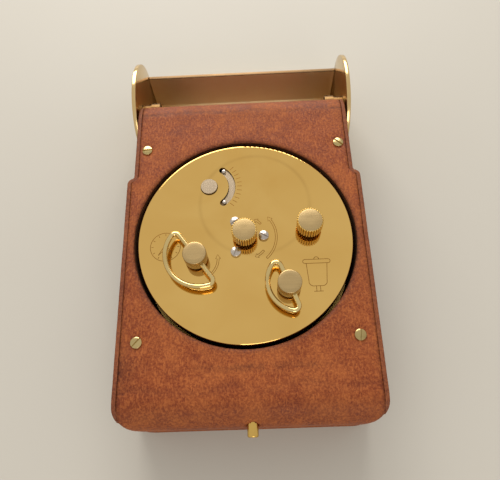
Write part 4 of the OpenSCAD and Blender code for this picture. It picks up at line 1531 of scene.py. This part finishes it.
@dataclass
class WindingKey:
    """A key post with its folding wire bail."""

    finishes: Finishes
    key: str
    bail: str
    key_body: str
    bail_body: str
    angle: float
    half: float
    depth: float
    wire: float = 0.65 * MM
    swell: float = 0.06 * MM
    bend: float = 1.4 * MM

    def spin(self) -> Matrix:
        """Gives the turn of the key about its post."""
        return Matrix.Rotation(math.radians(self.angle), 3, "Z")

    def bail_path(self) -> list[Vector]:
        """Gives the D-shaped line of the wire, its straight bar through the post.

        Returns:
            The points of the closed line.
        """
        bar_spans, bend_spans, bow_spans = 24, 14, 90
        low = self.depth - self.wire
        side = self.half - self.wire - self.bend
        past = (side ** 2 + self.bend ** 2 - (low - self.bend) ** 2) / (2 * (low - 2 * self.bend))
        turn = math.degrees(math.atan2(past + self.bend, side))
        flat = arc(self.bend, -turn, 90, bend_spans, (side, -self.bend))
        flat += [(side * (1 - 2 * k / bar_spans), 0.0) for k in range(1, bar_spans)]
        flat += arc(self.bend, 90, 180 + turn, bend_spans, (-side, -self.bend))
        flat += arc(low + past, 180 + turn, 360 - turn, bow_spans, (0.0, past))[1:-1]
        lift = Vector((*middle(self.key), middle_z(self.bail)))
        return [self.spin() @ Vector((x, y, 0)) + lift for x, y in flat]

    def post(self, bar_z: float) -> Object:
        """Makes the post with its cross hole.

        Args:
            bar_z: height of the bail's bar.

        Returns:
            The post.
        """
        low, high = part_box(self.key)
        centre = middle(self.key)
        radius = (high.x - low.x) / 2
        neck, step_z, edge = 2.4 * MM, high.z - 4.6 * MM, 0.28 * MM
        profile = [(neck - 0.1 * MM, low.z), (neck, low.z + 0.1 * MM), (neck, step_z)]
        profile += rounded_rod(radius, step_z, high.z, edge)
        profile += [(radius * 0.6, high.z), (radius * 0.2, high.z)]
        post = turned(self.key + "_post", profile, self.finishes.knob_top, centre, 72)
        reach, room = radius + 1 * MM, self.wire + self.swell + 0.06 * MM
        hole_at = Vector((*centre, bar_z))
        angles = [math.pi * k / 12 for k in range(24)]
        rings = [[self.spin() @ Vector((along, room * math.cos(a), room * math.sin(a))) + hole_at
                  for a in angles] for along in (-reach, reach)]
        cut(post, skinned("cross_hole", rings, self.finishes.brass))
        return post

    def build(self) -> None:
        """Makes and seats the post and the bail."""
        path = self.bail_path()
        rounded = 80.0
        post = self.post(path[0].z)
        bm = bmesh.new()
        tube(bm, path, self.wire + self.swell)
        wire = piece(self.bail + "_wire", outwards(bm), self.finishes.bail, rounded)
        seat(post, self.key_body, self.key)
        seat(wire, self.bail_body, self.bail)
        log.info("%s and its bail", self.key)


# ---- Cap engravings ----


@dataclass
class Engraving:
    """Fine engraved lines and ticks on the back cap."""

    copies: Copies
    finishes: Finishes
    level: float
    width: float = 0.16 * MM
    raised: float = 0.012 * MM
    sunk: float = 0.03 * MM
    arrow_gap: float = 0.28 * MM
    long_tip: float = 1.3 * MM
    short_tip: float = 0.9 * MM

    def line(self, bm: BMesh, path: Sequence[Point], closed: bool = False) -> None:
        """Adds one line of even width.

        Args:
            bm: mesh to add to.
            path: its points in plan.
            closed: whether the last point joins the first.
        """
        points = [Vector((x, y, 0)) for x, y in path]
        base, top = Vector((0, 0, self.level - self.sunk)), Vector((0, 0, self.level + self.raised))
        rings = []
        for point, along in zip(points, headings(points, closed)):
            side = Vector((-along.y, along.x, 0)) * self.width / 2
            left, right = point - side, point + side
            rings.append([left + base, right + base, right + top, left + top])
        loops_mesh(bm, rings, closed)

    def arrow(self, bm: BMesh, centre: Point, radius: float, start: float, end: float,
              head: float) -> None:
        """Adds a curved double-line arrow.

        Args:
            bm: mesh to add to.
            centre: centre of its arc.
            radius: mean radius.
            start: angle of its tail.
            end: angle of its tip.
            head: length of its head.
        """
        turn = math.copysign(1, end - start)
        gap = self.arrow_gap
        neck = end - turn * math.degrees(head / radius)
        for ring in (radius - gap, radius + gap):
            self.line(bm, arc(ring, start, neck, 20, centre))
        self.line(bm, [polar(radius - gap, start, centre), polar(radius + gap, start, centre)])
        wing = 2.6 * gap
        self.line(bm, [polar(radius - gap, neck, centre), polar(radius - wing, neck, centre),
                       polar(radius, end, centre), polar(radius + wing, neck, centre),
                       polar(radius + gap, neck, centre)])

    def bell(self, bm: BMesh, mouth: Point) -> None:
        """Adds a plain bell outline that hangs towards the button end.

        Args:
            bm: mesh to add to.
            mouth: middle of its mouth.
        """
        x0, y0 = mouth
        half, lip, flank_x, narrowing = 3.3 * MM, 1.2 * MM, 2.95, 0.4
        for y in (y0, y0 - lip):
            self.line(bm, [(x0 - half, y), (x0 + half, y)])
        self.line(bm, arc(lip / 2, 90, 270, 8, (x0 - half, y0 - lip / 2)))
        self.line(bm, arc(lip / 2, -90, 90, 8, (x0 + half, y0 - lip / 2)))
        self.line(bm, arc(0.7 * MM, 0, 180, 10, (x0, y0)))
        base, foot, shank = y0 - 7.95 * MM, y0 - 9.5 * MM, 0.55 * MM
        for side in (-1, 1):
            flank = [(x0 + side * flank_x * MM, y0 - lip)]
            flank += [(x0 + side * (flank_x - narrowing * share) * MM, y0 - (1.2 + 5.2 * share) * MM)
                      for share in (0.4, 0.8, 1.0)]
            shoulder = arc(1.2 * MM, 0, -80, 6, (x0 + 1.35 * MM, y0 - 6.7 * MM))
            flank += [(x0 + side * (x - x0), y) for x, y in shoulder]
            self.line(bm, flank)
        for width, y in ((1.6 * MM, base), (1.3 * MM, foot)):
            self.line(bm, [(x0 - width, y), (x0 + width, y)])
        for side in (-1, 1):
            self.line(bm, [(x0 + side * shank, base), (x0 + side * shank, foot)])

    def hands(self, bm: BMesh, centre: Point) -> None:
        """Adds a plain clock-face picture: a circle with ticks and two hands.

        Args:
            bm: mesh to add to.
            centre: middle of the circle.
        """
        radius, hub, half_hand = 4.4 * MM, 0.5 * MM, 0.35 * MM
        tick = (radius - 0.9 * MM, radius - 0.3 * MM)
        self.line(bm, arc(radius, 0, 354, 59, centre), closed=True)
        for k in range(12):
            self.line(bm, [polar(reach, 30 * k, centre) for reach in tick])
        self.line(bm, arc(hub, 0, 330, 11, centre), closed=True)
        for reach, angle in ((3.2 * MM, 232), (2.4 * MM, 318)):
            for side in (-half_hand, half_hand):
                off = polar(side, angle + 90, centre)
                self.line(bm, [polar(hub + 0.1 * MM, angle, off), polar(reach, angle, centre)])

    def build(self) -> None:
        """Makes the engravings and the regulator's ticks."""
        bm = bmesh.new()
        self.bell(bm, (20.2 * MM, -7.8 * MM))
        self.hands(bm, (-23.3 * MM, -2.2 * MM))
        self.arrow(bm, middle("time_key"), 6.2 * MM, -58, 12, self.long_tip)
        self.arrow(bm, middle("set_knob"), 9.2 * MM, -48, 42, self.long_tip)
        self.arrow(bm, middle("set_knob"), 6.2 * MM, 40, 62, self.short_tip)
        self.arrow(bm, middle("set_knob"), 7.0 * MM, -40, -66, self.short_tip)
        lines = piece("cap_engraving", outwards(bm), self.finishes.engraved)
        tick_half, tick_ring, first, step, count = 0.75 * MM, 9.3 * MM, -42, 8.4, 11
        bm = bmesh.new()
        self.line(bm, [(-tick_half, 0.0), (tick_half, 0.0)])
        tick = piece("tick", outwards(bm), self.finishes.engraved)
        marks = []
        for k in range(count):
            angle = first + step * k
            place = Vector((*polar(tick_ring, angle, regulator_pivot()), 0))
            marks.append((place, Vector((0, 0, math.radians(angle)))))
        ticks = self.copies.row("regulator_ticks", tick, marks, self.finishes.engraved)
        for made in (lines, ticks):
            seat(made, "case")
        log.info("cap engravings")


# ---- Hinge bracket and cover ----


@dataclass
class HingeBracket:
    """Two round-topped cheeks, the end plate and its floor, with softened rims."""

    copies: Copies
    finishes: Finishes
    floor_z: float = 0.3 * MM
    arm_h: float = 6.5 * MM
    rim: float = 0.22 * MM

    def cheek_outline(self) -> list[Point]:
        """Gives a cheek's outline.

        Returns:
            Its (y, z) points in order.
        """
        low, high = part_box("hinge_cheek_left")
        radius = high.z - middle_z("hinge_pins")
        pivot = (high.y - radius, high.z - radius)
        arm_z, arm_r = self.floor_z + self.arm_h, 2 * MM
        outline = [(low.y, self.floor_z), (high.y, self.floor_z)]
        outline += arc(radius, 0, 180, 48, pivot)
        outline += [(high.y - 2 * radius, arm_z)]
        outline += arc(arm_r, 90, 180, 6, (low.y + arm_r, arm_z - arm_r))
        return outline

    def plate(self, name: str, node: str, outline: Sequence[Point], material: Material,
              rim: tuple[float, int], slot: str) -> None:
        """Makes a plate that is as wide as its CAD node, and seats it.

        Args:
            name: name of the piece.
            node: the node that it replaces.
            outline: its (y, z) points.
            material: its finish.
            rim: width and number of faces of its rounded edges.
            slot: not used.
        """
        low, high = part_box(node)
        made = skinned(name, [[Vector((x, y, z)) for y, z in outline] for x in (low.x, high.x)], material)
        soften(made, *rim)
        seat(made, "cover", node)

    def cheek(self, node: str) -> None:
        """Makes one cheek and seats it."""
        self.plate(node + "_plate", node, self.cheek_outline(), self.finishes.cheek, (self.rim, 3),
                   "brass_polished")

    def end_plate(self) -> None:
        """Makes the upright end plate and the floor under it, as one bent sheet."""
        low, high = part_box("hinge_end_plate")
        thick, bend, rim = 1.2 * MM, 0.9 * MM, 0.12 * MM
        outline = [(low.y, low.z), *arc(bend, -90, 0, 5, (high.y - bend, low.z + bend)), (high.y, high.z),
                   (high.y - thick, high.z), (high.y - thick, low.z + thick), (low.y, low.z + thick)]
        # Its brushed finish paints shade over the top of the plate.
        self.plate("bent_end_plate", "hinge_end_plate", outline, self.finishes.brushed, (rim, 2),
                   "brass_brushed")

    def rivet_heads(self) -> None:
        """Makes the low domed heads of the rivets and hinge pins on both cheeks."""
        pin_low, pin_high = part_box("hinge_pins")
        low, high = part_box("cheek_rivets")
        small = (high.z - low.z) / 2
        pins = [((pin_low.y + pin_high.y) / 2, (pin_low.z + pin_high.z) / 2)]
        rivets = [(y, low.z + small) for y in (low.y + small, high.y - small)]
        for name, at, radius in (("hinge_pin_heads", pins, (pin_high.z - pin_low.z) / 2 + 0.25 * MM),
                                 ("rivet_heads", rivets, small + 0.2 * MM)):
            dome = [(radius, -0.3 * MM), (radius, 0.02 * MM), (radius * 0.93, 0.08 * MM),
                    (radius * 0.7, 0.14 * MM), (radius * 0.35, 0.17 * MM), (radius * 0.08, 0.18 * MM)]
            shape = turned("dome", dome, self.finishes.cheek)
            marks = [(Vector((side * high.x, y, z)), Vector((0, side * math.pi / 2, 0)))
                     for side in (-1, 1) for y, z in at]
            heads = self.copies.row(name, shape, marks, self.finishes.cheek)
            seat(heads, "cover")

    def build(self) -> None:
        """Makes the bracket."""
        self.rivet_heads()
        self.cheek("hinge_cheek_left")
        self.cheek("hinge_cheek_right")
        self.end_plate()
        log.info("hinge bracket")


@dataclass
class CoverSkin:
    """The leather tray of the cover and the plush pad inside it."""

    shape: CaseShape
    finishes: Finishes
    floor: float = 1.0 * MM
    rounded: float = 60.0

    def outline(self, inset: float) -> list[Point]:
        """Gives the cover's outline, set in by a distance.

        Args:
            inset: the distance.

        Returns:
            Its points in plan, anticlockwise.
        """
        side_room = 0.2 * MM
        wide, slim = self.shape.half_w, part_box("hinge_end_plate")[1].x - side_room
        radius, end, step = self.shape.corner_r, self.shape.y_end, self.shape.y_shoulder - 2 * MM
        points = arc(radius, 180, 270, 10, (radius - wide, radius - end))
        points += arc(radius, 270, 360, 10, (wide - radius, radius - end))
        points += [(wide, step), (slim, step), (slim, end), (-slim, end), (-slim, step), (-wide, step)]
        return offset(points, inset)

    def stacked(self, name: str, profile: Sequence[Point], material: Material, sharp: float) -> Object:
        """Makes a piece from level slices of the cover's outline.

        Args:
            name: name of the piece.
            profile: pairs of inset and height.
            material: its finish.
            sharp: edges bent by more than this many degrees stay sharp.

        Returns:
            The piece.
        """
        rings = [[Vector((*point, z)) for point in self.outline(inset)] for inset, z in profile]
        return skinned(name, rings, material, sharp)

    def tray(self) -> Object:
        """Makes the leather tray with its rolled rim.

        Returns:
            The tray, cut out over the bracket's floor.
        """
        top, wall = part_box("cover_leather")[1].z, self.shape.skin
        turn = wall / 2
        profile = [(0.5 * MM, 0.0), (0.12 * MM, 0.12 * MM), (0.0, 0.5 * MM), (0.0, top * 0.5)]
        profile += [(turn - x, top - turn + z) for x, z in arc(turn, 0, 180, 8)]
        profile += [(wall, self.floor)]
        made = self.stacked("cover_leather_tray", profile, self.finishes.leather, BEVELLED_EDGE)
        low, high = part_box("hinge_end_plate")
        cut_box(made, Vector((low.x - MM, low.y - 0.1 * MM, -MM)), Vector((high.x + MM, high.y, 1.6 * MM)))
        values = [0.25 + 0.4 * max(0.0, noise.noise(vert.co * 110)) for vert in made.data.vertices]
        made.data.attributes.new("grime", "FLOAT", "POINT").data.foreach_set("value", values)
        return made

    def pad(self) -> Object:
        """Makes the crowned plush pad.

        Returns:
            The pad, cut out round the catch.
        """
        low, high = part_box("cover_lining")
        gap = self.shape.skin + 0.12 * MM
        profile = [(gap + 0.1 * MM, low.z), (gap, low.z + 0.3 * MM), (gap + 0.15 * MM, high.z - 0.16 * MM),
                   (gap + 0.6 * MM, high.z - 0.03 * MM), (gap + 1.6 * MM, high.z)]
        made = self.stacked("lining_pad", profile, self.finishes.plush, self.rounded)
        catch_low, catch_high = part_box("catch_plate")
        room = 0.25 * MM
        cut_box(made, Vector((catch_low.x - room, catch_low.y - room, low.z - MM)),
                Vector((catch_high.x + room, catch_high.y + room, high.z + MM)))
        return made

    def build(self) -> None:
        """Makes and seats the cover's soft pieces."""
        tray, pad = self.tray(), self.pad()
        seat(tray, "cover", "cover_leather")
        seat(pad, "cover", "cover_lining")
        log.info("cover skin")


# ---- Dial ----


@dataclass
class DialFace:
    """Numerals and a minute track on the cream dial, read from the front."""

    copies: Copies
    finishes: Finishes
    numeral_h: float = 6.6 * MM
    proud: float = 0.06 * MM
    bold: float = 0.13 * MM
    track_inset: float = 1.6 * MM
    numeral_inset: float = 6.2 * MM

    def numerals(self, level: float, radius: float) -> Object:
        """Makes the twelve hour numerals, upright as seen from the front.

        Args:
            level: height of the dial's face.
            radius: radius of the circle that they stand on.

        Returns:
            One piece with all of them.
        """
        bm = bmesh.new()
        for hour in range(1, 13):
            curve = bpy.data.curves.new("numeral", "FONT")
            curve.body = str(hour)
            curve.size = self.numeral_h
            curve.align_x, curve.align_y = "CENTER", "CENTER"
            curve.extrude = self.proud
            curve.offset = self.bold
            text = linked("numeral", curve)
            mesh = evaluated(text)
            x, y = polar(radius, -90 + 30 * hour)
            mesh.transform(Matrix.Translation((x, y, level)) @ Matrix.Rotation(math.pi, 4, "X"))
            bm.from_mesh(mesh)
            bpy.data.objects.remove(text)
        return piece("dial_numerals", outwards(bm), self.finishes.black)

    def build(self) -> None:
        """Makes the markings and seats them on the case."""
        low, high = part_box("dial")
        level = low.z
        radius = (high.x - low.x) / 2 - self.track_inset
        made = [self.numerals(level, radius - self.numeral_inset)]
        hours = [minute for minute in range(60) if minute % 5 == 0]
        others = [minute for minute in range(60) if minute % 5]
        for name, minutes, inset, half_x, half_y in (
                ("hour_track", hours, 1.1 * MM, 1.0 * MM, 0.34 * MM),
                ("minute_track", others, 0.8 * MM, 0.7 * MM, 0.15 * MM)):
            bm = bmesh.new()
            bmesh.ops.create_cube(bm, size=2.0)
            for vert in bm.verts:
                vert.co = Vector((vert.co.x * half_x, vert.co.y * half_y, vert.co.z * self.proud))
            bar = piece("minute_bar", bm, self.finishes.black)
            marks = [(Vector((*polar(radius - inset, 6 * minute), level)),
                      Vector((0, 0, math.radians(6 * minute)))) for minute in minutes]
            made.append(self.copies.row(name, bar, marks, self.finishes.black))
        bm = bmesh.new()
        for ring in (radius - 0.05 * MM, radius - 1.75 * MM):
            tube(bm, [Vector((x, y, level)) for x, y in arc(ring, 0, 357, 119)], self.proud * 1.6, 6)
        made.append(piece("track_rings", outwards(bm), self.finishes.black))
        for part in made:
            seat(part, "case")
        log.info("dial face")


# ---- Whole clock, stage and camera ----


@dataclass
class TravelClock:
    """The whole clock, dressed piece by piece."""

    finishes: Finishes
    copies: Copies
    shape: CaseShape

    def dress_frame(self) -> None:
        """Gives the CAD nodes that stay their finishes."""
        f = self.finishes
        for finish, nodes in (
                (f.cap, "back_cap"), (f.brass, "push_button"), (f.cheek, "bezel cheek_rivets catch_plate"),
                # The lugs and pins take the dark lug brass: painted shade.
                (f.lug, "hinge_lugs hinge_pins"), (f.plate, "front_plate back_plate pillars"),
                (f.wheel, "time_barrel alarm_barrel centre_wheel third_wheel fourth_wheel escape_wheel "
                          "minute_wheel hour_wheel alarm_wheel balance_wheel"),
                (f.steel, "movement_screws balance_cock centre_arbor cannon_pinion alarm_set_arbor "
                          "time_arbor alarm_arbor time_ratchet alarm_ratchet time_click alarm_click "
                          "pallet_lever alarm_hammer button_spring"),
                (f.satin, "regulator_index"), (f.blued, "hairspring"), (f.glass, "crystal"),
                (f.cream, "dial"), (f.silver, "dial_ring"), (f.black, "minute_hand hour_hand"),
                (f.red, "alarm_hand"), (f.wood, "case_core"), (f.board, "cover_core")):
            dress(nodes.split(), finish)
        log.info("CAD nodes dressed")

    def case_screw_places(self) -> list[tuple[Point, float]]:
        """Gives the four case screws.

        Returns:
            Pairs of place in plan and turn of the slot in degrees.
        """
        low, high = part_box("case_screws")
        inset = 1.6 * MM
        left, right, near, far = low.x + inset, high.x - inset, low.y + inset, high.y - inset
        return [((left, far), 4), ((right, far), -42), ((left, near), 48), ((right, near), 80)]

    def fasteners(self) -> None:
        """Makes the visible screws of the case and the cap."""
        f, copies, back = self.finishes, self.copies, self.shape.back_z
        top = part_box("case_screws")[1].z
        heads = SlottedScrews(copies, 1.6 * MM, top - 0.9 * MM, top, 0.5 * MM, 0.6 * MM)
        case = heads.place("case_screw_heads", self.case_screw_places(), f.screw)
        seat(case, "case", "case_screws")
        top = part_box("cap_screws")[1].z
        ring, slots = 5.5 * MM, ((120, 35), (0, -30), (240, 70))
        places = [(polar(ring, angle, middle("set_knob")), turn) for angle, turn in slots]
        heads = SlottedScrews(copies, 1.5 * MM, top - 1.25 * MM, top, 0.4 * MM, 0.55 * MM, 0.3 * MM)
        seat(heads.place("cap_screw_heads", places, f.steel), "case", "cap_screws")
        ring = 7.0 * MM
        places = [(polar(ring, angle, regulator_pivot()), angle) for angle in (50, -49)]
        studs = SlottedScrews(copies, 0.62 * MM, back - 0.9 * MM, back + 0.25 * MM, 0.14 * MM, 0.1 * MM,
                              0.1 * MM)
        seat(studs.place("regulator_studs", places, f.steel), "case")
        log.info("screws")

    def build(self) -> None:
        """Builds every sub-assembly in order."""
        f, copies = self.finishes, self.copies
        self.dress_frame()
        screws = [place for place, _ in self.case_screw_places()]
        LeatherCase(self.shape, f, screws=screws).build()
        self.fasteners()
        SerratedKnob(copies, f, "set_knob", "hand_setting").build()
        SerratedKnob(copies, f, "alarm_knob", "alarm_setting").build()
        WindingKey(f, "time_key", "time_bail", "time_winding", "time_bail", -54, 10.1 * MM, 9 * MM).build()
        WindingKey(f, "alarm_key", "alarm_bail", "alarm_winding", "alarm_bail", -69, 8 * MM,
                   6.5 * MM).build()
        Engraving(copies, f, self.shape.back_z).build()
        HingeBracket(copies, f).build()
        CoverSkin(self.shape, f).build()
        DialFace(copies, f).build()


@dataclass
class Studio:
    """Pale table, soft lights and the camera."""

    finishes: Finishes
    table_half: float = 3.0
    lens: float = 34.98
    sensor: float = 36.0
    nearest: float = 0.005
    eye: Colour = (0.00426, -0.05532, 0.16105)
    turns: Colour = (22.49, 1.13, -2.33)
    room_colour: Colour = srgb(226, 221, 213)
    room_light: float = 0.98

    def table(self) -> None:
        """Makes the table top under the clock."""
        bm = bmesh.new()
        bmesh.ops.create_grid(bm, x_segments=2, y_segments=2, size=self.table_half)
        top = piece("table_top", bm, self.finishes.table)

    def lamp(self, name: str, place: Colour, size: float, power: float, colour: Colour) -> None:
        """Adds a square soft light aimed at the clock.

        Args:
            name: name of the lamp.
            place: where it hangs, in metres.
            size: length of its sides.
            power: its power in watts.
            colour: its colour.
        """
        light = bpy.data.lights.new(name, "AREA")
        light.size = size
        light.energy = power
        light.color = colour
        lamp = linked(name, light)
        lamp.location = place
        lamp.rotation_euler = (-Vector(place)).to_track_quat("-Z", "Y").to_euler()

    def room(self) -> None:
        """Sets the even light of the room."""
        world = bpy.data.worlds.new("room")
        bpy.context.scene.world = world
        world.use_nodes = True
        ground = world.node_tree.nodes["Background"]
        ground.inputs["Color"].default_value = (*self.room_colour, 1.0)
        ground.inputs["Strength"].default_value = self.room_light

    def camera(self) -> None:
        """Adds the camera that looks down at the back of the clock from the button end."""
        data = bpy.data.cameras.new("camera")
        data.lens = self.lens
        data.sensor_width = self.sensor
        data.clip_start = self.nearest
        camera = linked("camera", data)
        camera.location = self.eye
        camera.rotation_mode = "ZYX"
        camera.rotation_euler = Euler([math.radians(turn) for turn in self.turns], "ZYX")
        bpy.context.scene.camera = camera

    def build(self) -> None:
        """Sets everything that isn't the clock."""
        self.camera()
        self.table()
        self.room()
        self.lamp("window", (-0.06, 0.66, 0.42), 0.55, 5.4, srgb(255, 250, 244))
        self.lamp("fill", (0.1, -0.8, 0.35), 0.4, 1.6, srgb(255, 246, 234))
        bpy.context.scene.view_settings.view_transform = "Standard"
        log.info("studio")


def main() -> None:
    logging.basicConfig(level=logging.INFO, format="%(name)s: %(message)s")
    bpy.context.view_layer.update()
    cap_ring, cap_ring_r = (3.2 * MM, 10.8 * MM), 16.5 * MM
    finishes = Finishes(cap_ring, cap_ring_r)
    Studio(finishes).build()
    TravelClock(finishes, Copies(), CaseShape.from_frame()).build()
    bpy.context.view_layer.update()


if __name__ == "__main__":
    main()
